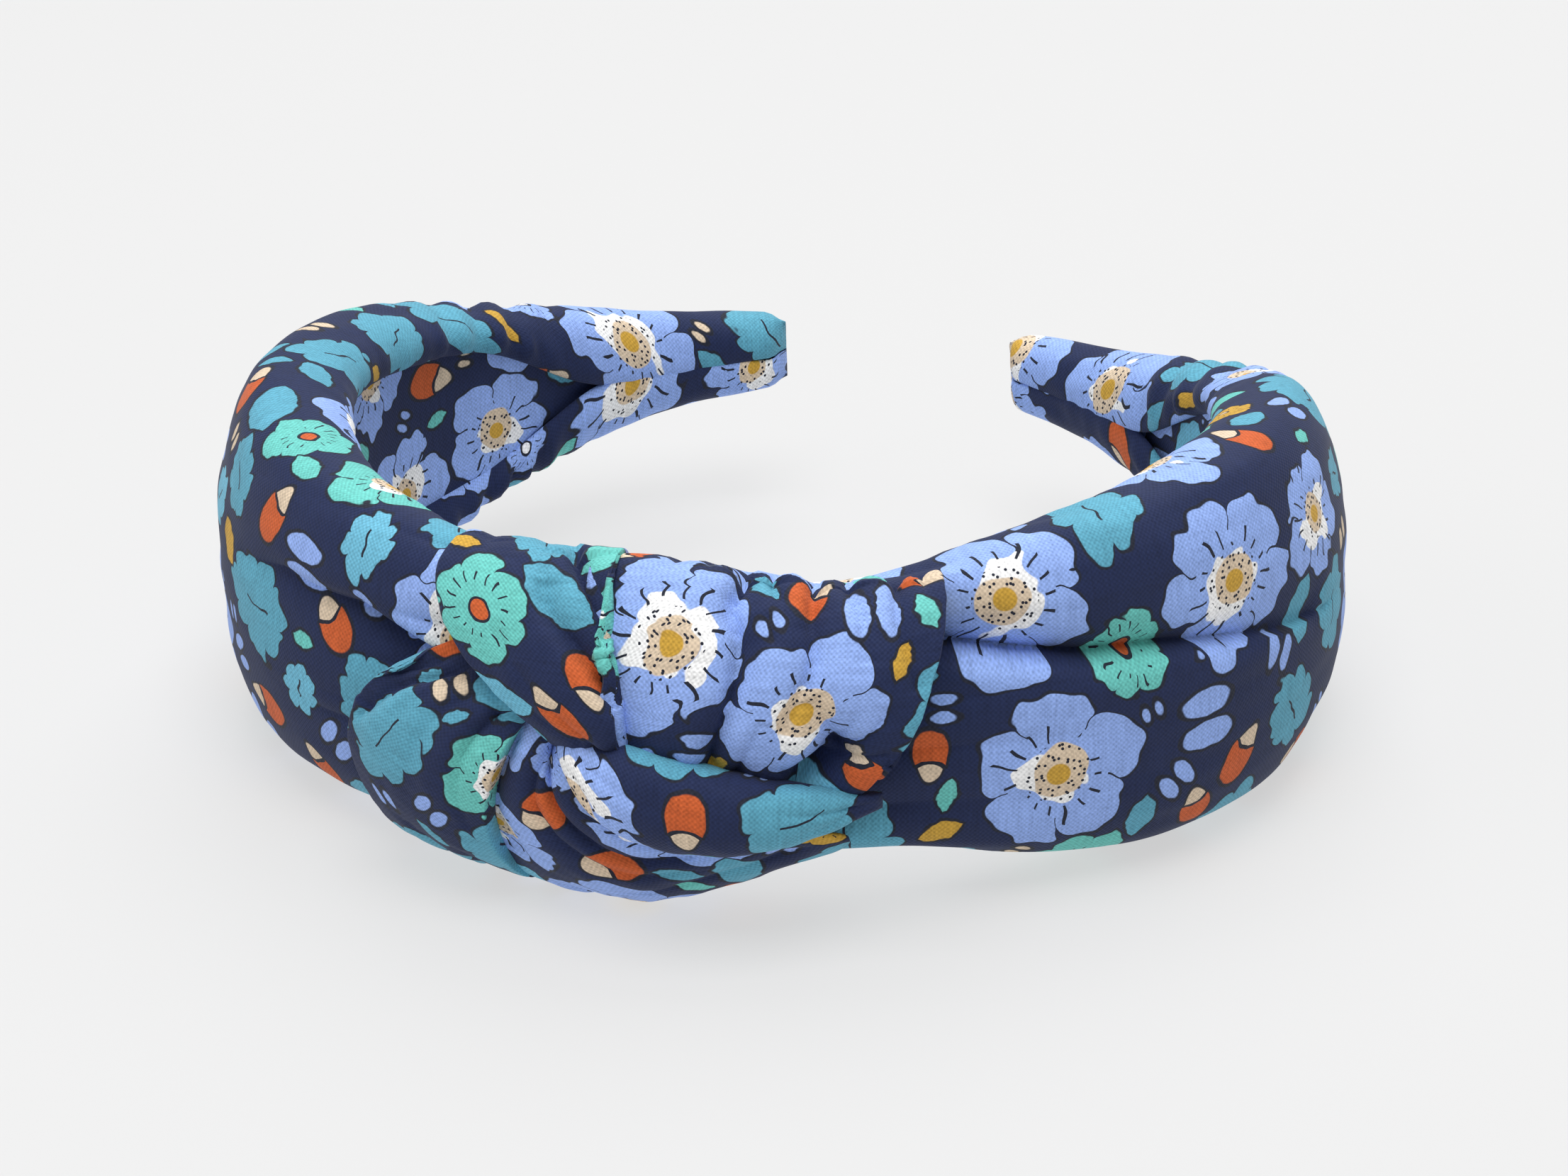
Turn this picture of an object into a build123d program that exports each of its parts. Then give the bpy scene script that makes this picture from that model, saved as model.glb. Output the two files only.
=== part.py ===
from build123d import *
import os
from math import cos, degrees, radians, sin

# A knotted fabric headband lying on its edge. Millimetres, +Z up along the band's width, the knot
# towards -Y, the two tips towards +Y. The origin is under the middle of the object, on the surface
# that it lies on.

# ---- driving sizes -------------------------------------------------------------------------------

# Centreline of the plastic hoop, one half: three arcs, each tangent to the next
crown_radius = 76.0
crown_angle = 38.0
shoulder_radius = 54.0
shoulder_angle = 88.0
tail_radius = 86.0
tail_angle = 31.0
band_lean = 2.0  # degrees that the band leans in towards its top, as a head does

# Plastic hoop
hoop_thickness = 1.8
hoop_width = 28.0
hoop_tip_width = 8.0
hoop_corner = 0.6

# Padded cloth arm: half of its height, and how far it stands out of and into the head space,
# measured from the middle of the hoop's thickness
crown_under_shoulder = 3.2  # how much lower than the shoulder the crown's padding is
crown_out = 8.0
crown_in = 4.2
shoulder_half_height = 26.2
shoulder_out = 12.5
shoulder_in = 6.5
tip_half_height = 5.5
tip_out = 3.4
tip_in = 3.0

# Cloth, glue, lining and wadding
cloth = 0.9
glue = 0.2
touch = 0.02  # between faces that lie on each other
lining = 0.5
lining_margin = 1.0  # bare hoop left beside the lining along each edge
wadding_short = 26.0  # the wadding ends this far before the tip

# Knot of two cloth loops over the crown
knot_half_width = 43.0
knot_over_shoulder = 0.2  # how much taller than the shoulder the knot is
knot_rim_under = 1.9  # how much lower its ends are than its middle
knot_out = 14.0
knot_rim_out = 11.0
knot_in = 6.0
strand_reach = 38.0
strand_below_top = 13.4  # from the knot's top down to the strand's high end
strand_half_width = 9.0
strand_half_depth = 4.0
strand_out = 13.5
strand_end_out = 12.4

# Flex lines, one each side of the knot, where the hoop bends when the tips are pulled apart
flex_at = 48.0
hoop_flex_gap = 0.5
soft_flex_gap = 2.8

# Clearances
fit = 0.1  # between a piece and the one it lies in
soft_gap = 0.3  # between soft pieces
foot_flat = 0.3  # how much of the lowest edge the surface presses flat
tip_wrap = 1.0  # cloth folded over the hoop's end

# ---- worked out from the sizes above -------------------------------------------------------------

hoop_half = hoop_thickness / 2
crown_run = crown_radius * radians(crown_angle)
shoulder_run = shoulder_radius * radians(shoulder_angle)
tail_run = tail_radius * radians(tail_angle)
half_length = crown_run + shoulder_run + tail_run
shoulder_at = crown_run + shoulder_run * 0.45  # where the arm is thickest
tail_at = crown_run + shoulder_run
taper_at = crown_run + shoulder_run * 0.6  # where the arm starts to narrow
hoop_end = half_length - tip_wrap - cloth
crown_half_height = shoulder_half_height - crown_under_shoulder
knot_half_height = shoulder_half_height + knot_over_shoulder
knot_rim_half_height = knot_half_height - knot_rim_under
strand_rise = knot_half_height - strand_below_top
mid_height = min(shoulder_half_height, knot_half_height) - foot_flat
soft_crown_end = flex_at - soft_flex_gap / 2
soft_arm_start = flex_at + soft_flex_gap / 2
hoop_crown_end = flex_at - hoop_flex_gap / 2
hoop_arm_start = flex_at + hoop_flex_gap / 2
glue_face = -hoop_half - touch
lining_face = glue_face - glue - touch
channel_depth = -shoulder_in - knot_in  # deeper into the head space than any cloth


def heading(s):
    """The hoop's heading at s along its centreline from the crown, in degrees."""
    if s <= crown_run:
        return degrees(s / crown_radius)
    if s <= tail_at:
        return crown_angle + degrees((s - crown_run) / shoulder_radius)
    return crown_angle + shoulder_angle + degrees((s - tail_at) / tail_radius)


def arc_end(start, radius, first, last):
    """Where an arc ends that starts at a point and turns from one heading to another."""
    a = radians(first)
    b = radians(last)
    return (start[0] + radius * (sin(b) - sin(a)), start[1] + radius * (cos(a) - cos(b)))


def centre(s):
    """The point of the hoop's centreline at s from the crown, with the crown at the origin."""
    crown_end = crown_angle
    shoulder_end = crown_angle + shoulder_angle
    point = arc_end((0, 0), crown_radius, 0, min(heading(s), crown_end))
    if s > crown_run:
        point = arc_end(point, shoulder_radius, crown_end, min(heading(s), shoulder_end))
    if s > tail_at:
        point = arc_end(point, tail_radius, shoulder_end, heading(s))
    return point


def eased(s, knots):
    """A smooth size at s between (place, size) pairs."""
    for (s0, v0), (s1, v1) in zip(knots, knots[1:]):
        if s <= s1:
            t = (s - s0) / (s1 - s0)
            return v0 + (v1 - v0) * t * t * (3 - 2 * t)
    return knots[-1][1]


def half_height(s):
    """Half of the cloth arm's height at s."""
    if s <= taper_at:
        return eased(s, [(0, crown_half_height), (taper_at, shoulder_half_height)])
    t = (s - taper_at) / (half_length - taper_at)
    return shoulder_half_height + (tip_half_height - shoulder_half_height) * (1 - cos(radians(90 * t)) ** 1.5)


def reach_out(s):
    """How far the cloth arm stands out from the hoop at s."""
    return eased(s, [(0, crown_out), (shoulder_at, shoulder_out), (half_length, tip_out)])


def reach_in(s):
    """How far the cloth arm stands into the head space at s."""
    return eased(s, [(0, crown_in), (shoulder_at, shoulder_in), (half_length, tip_in)])


def hoop_half_width(s):
    """Half of the hoop's width at s."""
    return eased(s, [(0, hoop_width / 2), (shoulder_at, hoop_width / 2), (half_length, hoop_tip_width / 2)])


front_reach = strand_out + strand_half_depth
back_reach = centre(half_length)[1] - tip_out * cos(radians(heading(half_length)))
y_shift = (front_reach - back_reach) / 2


def across(s):
    """The plane across the band at s, negative to the left. Its x points out, its y points up."""
    x, y = centre(abs(s))
    turn = radians(heading(abs(s)))
    side = -1 if s < 0 else 1
    lean = radians(band_lean)
    return Plane(
        origin=(side * x, y + y_shift, mid_height),
        x_dir=(side * sin(turn) * cos(lean), -cos(turn) * cos(lean), sin(lean)),
        z_dir=(-cos(turn), -side * sin(turn), 0),
    )


def stations(start, end, step=11.0):
    """Places along the band from start to end. Those between them are the same for every piece."""
    inner = [step * i for i in range(int(half_length / step) + 1)]
    return [start] + [s for s in inner if start + step / 3 < s < end - step / 3] + [end]


def both_sides(end):
    """Places along the band from end on the left, over the crown, to end on the right."""
    right = stations(0, end)
    return [-s for s in right[:0:-1]] + right


def even(start, end, spans=8):
    """Evenly spaced places from start to end."""
    return [start + (end - start) * i / spans for i in range(spans + 1)]


def oval(s, inset=0.0):
    """The padded band's oval section at s, made smaller all round by inset."""
    out = reach_out(abs(s)) - inset
    into = reach_in(abs(s)) - inset
    with BuildSketch(across(s)) as section:
        with Locations(((out - into) / 2, 0)):
            Ellipse((out + into) / 2, half_height(abs(s)) - inset)
    return section.sketch


def strip(s, low, high, spare):
    """A flat strip's section at s, from low to high off the hoop's middle, wider than it by spare."""
    with BuildSketch(across(s)) as section:
        with Locations(((low + high) / 2, 0)):
            Rectangle(high - low, 2 * (hoop_half_width(abs(s)) + spare))
    return section.sketch


def window(s):
    """The gap along the inside of a cover, where the lining shows."""
    return strip(s, channel_depth, -hoop_half, fit - lining_margin)


def channel(s):
    """The room for the hoop along the inside of the wadding."""
    return strip(s, channel_depth, hoop_half + fit, fit)


def hoop_section(s):
    """The moulded hoop's section at s."""
    with BuildSketch(across(s)) as section:
        RectangleRounded(hoop_thickness, 2 * hoop_half_width(abs(s)), hoop_corner)
    return section.sketch


def save(piece, name):
    """Labels a finished piece and writes it."""
    piece.label = name
    export_step(piece, f"parts/{name}.step")


os.makedirs("parts", exist_ok=True)

# What lies under the surface that the object is on
ground = Pos(0, 0, -10) * Box(400, 400, 20)

# ---- arms, left and right ------------------------------------------------------------------------

for side, name in ((1, "right"), (-1, "left")):
    hoop_places = [side * s for s in stations(hoop_arm_start, hoop_end)]
    strip_places = [side * s for s in stations(hoop_arm_start, hoop_end - tip_wrap)]
    cover_places = [side * s for s in stations(soft_arm_start, half_length)]
    hollow_places = [side * s for s in stations(soft_arm_start - cloth, hoop_end + fit)]
    wadding_places = [side * s for s in stations(soft_arm_start, half_length - wadding_short)]
    channel_places = [side * s for s in stations(soft_arm_start - cloth, half_length - wadding_short + cloth)]

    with BuildPart() as hoop_arm:
        loft([hoop_section(s) for s in hoop_places])
    save(hoop_arm.part, f"{name}_hoop_arm")

    with BuildPart() as arm_glue:
        loft([strip(s, glue_face - glue, glue_face, -lining_margin) for s in strip_places])
    save(arm_glue.part, f"{name}_arm_glue")

    with BuildPart() as arm_lining:
        loft([strip(s, lining_face - lining, lining_face, -lining_margin) for s in strip_places])
    save(arm_lining.part, f"{name}_arm_lining")

    with BuildPart() as arm_cover:
        loft([oval(s) for s in cover_places])
        loft([oval(s, cloth) for s in hollow_places], mode=Mode.SUBTRACT)
        loft([window(s) for s in hollow_places], mode=Mode.SUBTRACT)
        add(ground, mode=Mode.SUBTRACT)
    save(arm_cover.part, f"{name}_arm_cover")

    with BuildPart() as arm_wadding:
        loft([oval(s, cloth + fit) for s in wadding_places])
        loft([channel(s) for s in channel_places], mode=Mode.SUBTRACT)
    save(arm_wadding.part, f"{name}_arm_wadding")

# ---- crown, under the knot -----------------------------------------------------------------------

hoop_crown_places = both_sides(hoop_crown_end)
soft_crown_places = both_sides(soft_crown_end)
past_crown_places = both_sides(soft_crown_end + cloth)

with BuildPart() as crown_hoop:
    loft([hoop_section(s) for s in hoop_crown_places])
save(crown_hoop.part, "crown_hoop")

with BuildPart() as crown_glue:
    loft([strip(s, glue_face - glue, glue_face, -lining_margin) for s in hoop_crown_places])
save(crown_glue.part, "crown_glue")

with BuildPart() as crown_lining:
    loft([strip(s, lining_face - lining, lining_face, -lining_margin) for s in hoop_crown_places])
save(crown_lining.part, "crown_lining")

with BuildPart() as crown_wadding:
    loft([oval(s, cloth + fit) for s in soft_crown_places])
    loft([channel(s) for s in past_crown_places], mode=Mode.SUBTRACT)
save(crown_wadding.part, "crown_wadding")

for side, name in ((1, "right"), (-1, "left")):
    with BuildPart() as crown_cover:
        loft([oval(side * s) for s in stations(soft_gap / 2, soft_crown_end)])
        loft([oval(s, cloth) for s in past_crown_places], mode=Mode.SUBTRACT)
        loft([window(s) for s in past_crown_places], mode=Mode.SUBTRACT)
    save(crown_cover.part, f"{name}_crown_cover")

# ---- knot: a loop wrapped round the crown, and the strand that crosses over it -------------------


def strand(t, spare=0.0):
    """The crossing strand's section, from t = -1, high on the left, to 1, low on the right."""
    full = cos(radians(75 * t)) ** 0.5
    out = strand_end_out + (strand_out - strand_end_out) * cos(radians(90 * t))
    with BuildSketch(across(strand_reach * t)) as section:
        with Locations((out, -strand_rise * t)):
            Ellipse(strand_half_depth * full + spare, strand_half_width * full + spare)
    return section.sketch


def loop(s):
    """The wrapped loop's outline at s: fullest in the middle of the knot."""
    swell = cos(radians(90 * s / knot_half_width))
    out = knot_rim_out + (knot_out - knot_rim_out) * swell
    tall = knot_rim_half_height + (knot_half_height - knot_rim_half_height) * swell
    with BuildSketch(across(s)) as section:
        with Locations(((out - knot_in) / 2, 0)):
            Ellipse((out + knot_in) / 2, tall)
    return section.sketch


strand_places = even(-1.0, 1.0)

with BuildPart() as knot_strand:
    loft([strand(t) for t in strand_places])
save(knot_strand.part, "knot_strand")

with BuildPart() as knot_loop:
    loft([loop(s) for s in even(-knot_half_width, knot_half_width)])
    loft([oval(s, -soft_gap) for s in past_crown_places], mode=Mode.SUBTRACT)
    loft([window(s) for s in past_crown_places], mode=Mode.SUBTRACT)
    loft([strand(t, soft_gap) for t in strand_places], mode=Mode.SUBTRACT)
    add(ground, mode=Mode.SUBTRACT)
save(knot_loop.part, "knot_loop")
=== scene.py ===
"""Builds a padded headband with a knot at the crown, in cotton printed all over with flowers.

Lengths inside the functions are millimetres. A place on the band is given by s, how far it is along
the middle of the hoop from the crown (negative on the left), o, how far out from the head, and z,
its height. A place round the band's section is an angle: 0 faces out, 90 up and -90 down.
"""

import math
from collections import namedtuple

import bmesh
import bpy
import numpy as np
from mathutils import Matrix, Vector


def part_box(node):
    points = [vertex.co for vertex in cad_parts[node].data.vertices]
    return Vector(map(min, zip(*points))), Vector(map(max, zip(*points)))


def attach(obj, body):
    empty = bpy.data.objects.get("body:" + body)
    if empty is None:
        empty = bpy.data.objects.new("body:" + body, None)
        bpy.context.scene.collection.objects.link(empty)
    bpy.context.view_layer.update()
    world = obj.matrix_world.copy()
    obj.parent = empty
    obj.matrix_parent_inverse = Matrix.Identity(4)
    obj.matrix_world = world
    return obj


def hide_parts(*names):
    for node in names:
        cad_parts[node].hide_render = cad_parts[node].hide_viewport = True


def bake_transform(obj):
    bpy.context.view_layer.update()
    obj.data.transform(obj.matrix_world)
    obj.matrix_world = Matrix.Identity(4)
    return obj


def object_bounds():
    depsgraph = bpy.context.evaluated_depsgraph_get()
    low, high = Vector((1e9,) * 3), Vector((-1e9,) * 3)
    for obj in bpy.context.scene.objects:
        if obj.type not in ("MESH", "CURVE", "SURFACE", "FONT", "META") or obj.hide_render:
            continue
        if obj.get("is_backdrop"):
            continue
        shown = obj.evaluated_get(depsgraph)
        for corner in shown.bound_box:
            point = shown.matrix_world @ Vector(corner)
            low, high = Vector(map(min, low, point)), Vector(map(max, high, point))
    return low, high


bl_info = {
    "name": "Knotted headband",
    "version": (1, 0, 0),
    "blender": (4, 5, 0),
    "location": "3D View > Sidebar > Headband",
    "description": "Builds a padded headband with a knot, in printed cotton",
    "category": "Add Mesh",
}

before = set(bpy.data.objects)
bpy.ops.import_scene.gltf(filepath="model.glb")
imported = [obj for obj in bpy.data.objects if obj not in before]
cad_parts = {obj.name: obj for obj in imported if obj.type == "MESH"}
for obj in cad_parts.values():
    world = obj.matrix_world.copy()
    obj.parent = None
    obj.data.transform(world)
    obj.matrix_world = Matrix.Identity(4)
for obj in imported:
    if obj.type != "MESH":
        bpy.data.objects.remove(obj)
CAD_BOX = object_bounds()
MM = 0.001
LEFT, RIGHT = -1, 1
SIDES = {"left": LEFT, "right": RIGHT}

# Kinds of printed motif, and how many layers of them the cloth's mesh holds
FLOWER, CLUSTER, BUD, LEAF, PETALS, DAISY = range(1, 7)
LAYERS = 3


# ---- sizes and colours -------------------------------------------------------------------------


def length(name, text, size):
    """A length that a user can change, given in millimetres."""
    return bpy.props.FloatProperty(
        name=name, description=text, default=size * MM, min=0.0, precision=4,
        subtype="DISTANCE", unit="LENGTH",
    )


def angle_size(name, text, degrees):
    """An angle that a user can change, given in degrees."""
    start = math.radians(degrees)
    return bpy.props.FloatProperty(name=name, description=text, default=start, subtype="ANGLE")


def colour(name, text, hexed):
    """A colour that a user can change, given as it is written on a colour chart."""
    parts = [int(hexed[i : i + 2], 16) / 255 for i in (0, 2, 4)]
    linear = [c / 12.92 if c <= 0.04045 else ((c + 0.055) / 1.055) ** 2.4 for c in parts]
    return bpy.props.FloatVectorProperty(
        name=name, description=text, default=linear, size=3, min=0.0, max=1.0, subtype="COLOR"
    )


class BandSizes(bpy.types.PropertyGroup):
    """The line of the band and the sizes of what is wrapped round it."""

    crown_radius: length("Crown radius", "Bend of the hoop over the crown", 76)
    shoulder_radius: length("Shoulder radius", "Bend of the hoop at the sides", 54)
    tail_radius: length("Tail radius", "Bend of the hoop towards its tips", 86)
    crown_angle: angle_size("Crown turn", "Turn of the crown bend", 38)
    shoulder_angle: angle_size("Shoulder turn", "Turn of the side bend", 88)
    tail_angle: angle_size("Tail turn", "Turn of the tail bend", 36)
    lean: angle_size("Lean", "How far the top leans in", 2)
    hoop_thickness: length("Hoop thickness", "Thickness of the plastic hoop", 1.8)
    hoop_half_width: length("Hoop half width", "Half of the hoop's width over the crown", 14)
    cloth: length("Cloth", "Thickness of the cotton with its turned edge", 0.5)
    lining_half_width: length("Lining half width", "Half of the lining strip's width", 14)


class PrintColours(bpy.types.PropertyGroup):
    """The dyes of the printed cotton."""

    navy: colour("Ground", "Ground colour of the cloth", "1A264B")
    ink: colour("Ink", "Line round each motif", "1D2130")
    blue: colour("Blue", "Large petals", "8FABE8")
    teal: colour("Teal", "Leaves", "589EB6")
    sky: colour("Light teal", "Lighter leaves", "6AB2CD")
    mint: colour("Mint", "Mint flowers and leaves", "66BEB6")
    rust: colour("Rust", "Buds and eyes", "C25A2B")
    mustard: colour("Mustard", "Small flowers and eyes", "C49A3A")
    beige: colour("Beige", "Flower centres and bud bases", "D5C1A8")
    white: colour("White", "Ring round the flower centres", "F0F0F0")


class StageSettings(bpy.types.PropertyGroup):
    """The camera's place and the light."""

    azimuth: angle_size("Turn", "Camera's turn to the right", 16.01)
    elevation: angle_size("Height", "Camera's angle above the floor", 26)
    roll: angle_size("Roll", "Camera's turn about its own axis", -2.2)
    distance: length("Distance", "Camera to the middle of the object", 568)
    focal_length: bpy.props.FloatProperty(
        name="Focal length", description="Lens, in millimetres", default=94.24, unit="CAMERA"
    )
    floor_tone: bpy.props.FloatProperty(
        name="Floor", description="Lightness of the floor", default=0.20, min=0.0, max=1.0
    )


# ---- the band's line ---------------------------------------------------------------------------


class Band:
    """The line that the middle of the hoop follows, and points measured off it."""

    def __init__(self, sizes):
        self.radii = [r / MM for r in (sizes.crown_radius, sizes.shoulder_radius, sizes.tail_radius)]
        self.turns = np.cumsum([0, sizes.crown_angle, sizes.shoulder_angle, sizes.tail_angle])
        runs = [r * t for r, t in zip(self.radii, np.diff(self.turns))]
        self.ends = np.cumsum([0, *runs])
        self.lean = sizes.lean
        low, high = (np.array(c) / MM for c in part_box("crown_hoop"))
        half_width = sizes.hoop_half_width / MM
        half_thickness = sizes.hoop_thickness / MM / 2
        self.mid = (low[2] + high[2]) / 2
        self.front = low[1] + half_thickness * math.cos(self.lean) + half_width * math.sin(self.lean)

    def heading(self, s):
        """How far the band has turned at s, without its sign."""
        return np.interp(np.abs(s), self.ends, self.turns)

    def centre(self, s):
        """The point of the hoop's middle line at s."""
        h = self.heading(s)
        x = 0.0
        y = self.front
        for radius, first, last in zip(self.radii, self.turns, self.turns[1:]):
            at = np.clip(h, first, last)
            x = x + radius * (np.sin(at) - math.sin(first))
            y = y + radius * (math.cos(first) - np.cos(at))
        return np.sign(s) * x, y

    def axes(self, s):
        """The directions out from the head and up along the band's width at s."""
        turn = self.heading(s) * np.sign(s)
        flat = np.stack([np.sin(turn), -np.cos(turn), np.zeros_like(turn)], -1)
        up = np.array([0.0, 0.0, 1.0])
        tilted = flat * math.cos(self.lean) + up * math.sin(self.lean)
        return tilted, up * math.cos(self.lean) - flat * math.sin(self.lean)

    def point(self, s, o, z):
        """The points at s along the band, o out from the hoop and z above the floor."""
        s, o, z = np.broadcast_arrays(*(np.asarray(v, float) for v in (s, o, z)))
        x, y = self.centre(s)
        out, up = self.axes(s)
        middle = np.stack([x, y, np.full_like(x, self.mid)], -1)
        return middle + out * o[..., None] + up * (z - self.mid)[..., None]


def smooth(places, values, at):
    """A smooth curve through the values at those places."""
    p, v = np.asarray(places, float), np.asarray(values, float)
    slope = np.gradient(v, p)
    i = np.clip(np.searchsorted(p, at, side="right") - 1, 0, len(p) - 2)
    width = p[i + 1] - p[i]
    t = np.clip((at - p[i]) / width, 0, 1)
    return (
        (2 * t**3 - 3 * t**2 + 1) * v[i]
        + (t**3 - 2 * t**2 + t) * width * slope[i]
        + (3 * t**2 - 2 * t**3) * v[i + 1]
        + (t**3 - t**2) * width * slope[i + 1]
    )


def ease(x, low, high):
    """0 below low, 1 above high, and smooth between them."""
    t = np.clip((x - low) / (high - low), 0, 1)
    return t * t * (3 - 2 * t)


def waves(p, seed, size, octaves=3):
    """Smooth, repeatable unevenness between about -1 and 1 at points p, with swells of that size."""
    draw = np.random.default_rng(seed)
    total = np.zeros(p.shape[:-1])
    for octave in range(octaves):
        for _ in range(5):
            way = draw.normal(size=p.shape[-1])
            way /= np.linalg.norm(way)
            total += np.sin(p @ way * math.tau / size * 2**octave + draw.uniform(0, math.tau)) / 2**octave
    return total / 5


# ---- the padded arms ---------------------------------------------------------------------------

ARM_LENGTH = {LEFT: 185.5, RIGHT: 181.0}  # of each cover, from the crown to the tip

# Along each arm: the height of its top and bottom edges, and how far it reaches out and in
ARM_PLACES = [0, 28, 45, 62, 90, 112, 135, 160, 180]
ARM_TOP = {
    LEFT: [47, 46.5, 48.5, 50, 51, 47.5, 40.5, 34, 31.4],
    RIGHT: [46, 45.5, 49.6, 51.0, 51.2, 47.5, 40.5, 34, 31.4],
}
ARM_BOTTOM = {
    LEFT: [5.5, 5, 3.6, 2.0, 1.0, 4.5, 10.5, 17.5, 20.4],
    RIGHT: [7, 8.5, 4.8, 2.2, 1.0, 4.5, 10.5, 17.5, 20.4],
}
ARM_OUT = [7.5, 9, 11.3, 12.9, 13.2, 12.1, 10, 6.5, 4.3]
ARM_IN = [3.8, 3.8, 5, 6.5, 6.8, 6, 4.6, 4.2, 3.4]
SQUARENESS = 0.86  # below 1 the section is a little fuller than an oval
OUTSIDE_POINTS = 61  # of the oval part of the section, which is then drawn again more evenly


def gap_half_width(a, half):
    """Half of the gap between the rolled edges inside the arm, which close over the hoop's end."""
    return smooth([0, 112, 132, 148, 180], [half - 1.0, half - 1.5, half - 5.0, 0.4, 0.2], a)


def arm_section(side, a, half, inset=0.0, count=90):
    """The arm's outline at a from the crown, from the gap's upper edge over the outside to its lower,
    and how far up or down the cloth each point is from the outside's middle."""
    top = smooth(ARM_PLACES, ARM_TOP[side], a) - inset
    bottom = smooth(ARM_PLACES, ARM_BOTTOM[side], a) + inset
    out = smooth(ARM_PLACES, ARM_OUT, a) - inset
    into = smooth(ARM_PLACES, ARM_IN, a) - inset
    centre_o, reach = (out - into) / 2, (out + into) / 2
    centre_z, tall = (top + bottom) / 2, (top - bottom) / 2
    angle = np.radians(np.linspace(90, -90, OUTSIDE_POINTS))
    o = centre_o + reach * np.abs(np.cos(angle)) ** SQUARENESS
    z = centre_z + tall * np.sign(np.sin(angle)) * np.abs(np.sin(angle)) ** SQUARENESS
    gap = gap_half_width(a, half)
    inner = ease(inset, 0, 2)
    edge = (-1.5 - 1.6 * ease(a, 128, 146)) * (1 - inner) - 0.9 * inner
    t = np.linspace(0, 1, 25)[:, None]

    def roll(crest_z, edge_z, swell):
        """From the gap's edge, round the rolled edge, to the crest."""
        knots = [(edge, edge_z), (-into * 1.32, edge_z + swell), (-into * 1.12, crest_z), (centre_o, crest_z)]
        p = [np.array(k) for k in knots]
        return (1 - t) ** 3 * p[0] + 3 * (1 - t) ** 2 * t * p[1] + 3 * (1 - t) * t**2 * p[2] + t**3 * p[3]

    upper = roll(top, centre_z + gap, 1.2)
    lower = roll(bottom, centre_z - gap, -1.2)
    line = np.concatenate([upper[:-1], np.stack([o, z], -1), lower[::-1][1:]])
    along = np.concatenate([[0], np.cumsum(np.linalg.norm(np.diff(line, axis=0), axis=1))])
    front = along[len(upper) - 1 + OUTSIDE_POINTS // 2]
    evenly = np.linspace(0, along[-1], 400)
    finer = 1 + 1.8 * np.exp(-(((evenly - front + 3) / 15) ** 2))  # closer together where the folds run
    gone = np.concatenate([[0], np.cumsum((finer[1:] + finer[:-1]) / 2)])
    at = np.interp(np.linspace(0, gone[-1], count), gone, evenly)
    return np.stack([np.interp(at, along, line[:, k]) for k in (0, 1)], -1), front - at


def normals_of(p):
    """The direction that each point of a grid faces."""
    n = np.cross(np.gradient(p, axis=1), np.gradient(p, axis=0))
    return n / np.maximum(np.linalg.norm(n, axis=-1, keepdims=True), 1e-9)


def crease(p, line, depth, over, under, ends, side):
    """How far a fold along a line presses each point in. over and under are its widths on its two
    sides, which side tells apart as the way the cloth faces, and ends how deep it still is at each
    end of the line."""
    flat = p.reshape(-1, 3)
    best = np.full(len(flat), np.inf)
    share = np.zeros(len(flat))
    way = np.zeros(len(flat))
    lengths = np.linalg.norm(np.diff(line, axis=0), axis=1)
    start = np.concatenate([[0], np.cumsum(lengths)]) / lengths.sum()
    for i, (a, b) in enumerate(zip(line, line[1:])):
        d = b - a
        t = np.clip(((flat - a) @ d) / (d @ d), 0, 1)
        off = flat - a - t[:, None] * d
        far = np.linalg.norm(off, axis=1)
        near = far < best
        best = np.where(near, far, best)
        share = np.where(near, start[i] + t * (start[i + 1] - start[i]), share)
        way = np.where(near, off @ np.cross(d, side), way)
    width = np.where(way >= 0, over, under)
    fade = ends[0] + (ends[1] - ends[0]) * share
    tail = ease(share, 0.0, 0.08) * (1 - ease(share, 0.92, 1.0))
    tail = np.maximum(tail, np.where(share < 0.5, min(ends[0], 1), min(ends[1], 1)) * np.exp(-best / 2))
    return (-depth * fade * np.exp(-best / width) * np.minimum(tail + 0.15, 1)).reshape(p.shape[:-1])


# Long folds in the outside of each arm: points of the line (place along the arm, and how far up the
# cloth from the outside's middle), depth, width over and under it, and how deep its two ends are
ARM_FOLDS = {
    RIGHT: [
        ([(26, 12.5), (34, 11), (42, 9), (52, 7), (62, 6), (72, 3.5), (90, -1)], 9.0, 3.6, 0.9, (1.0, 0.25)),
    ],
    LEFT: [
        ([(26, 5), (33, 7), (40, 9.5), (54, 10), (66, 8)], 6.4, 0.9, 4.0, (1.0, 0.0)),
        ([(24, -4), (34, -7), (46, -8), (58, -6)], 2.2, 1.0, 3.0, (1.0, 0.0)),
    ],
}


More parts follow.
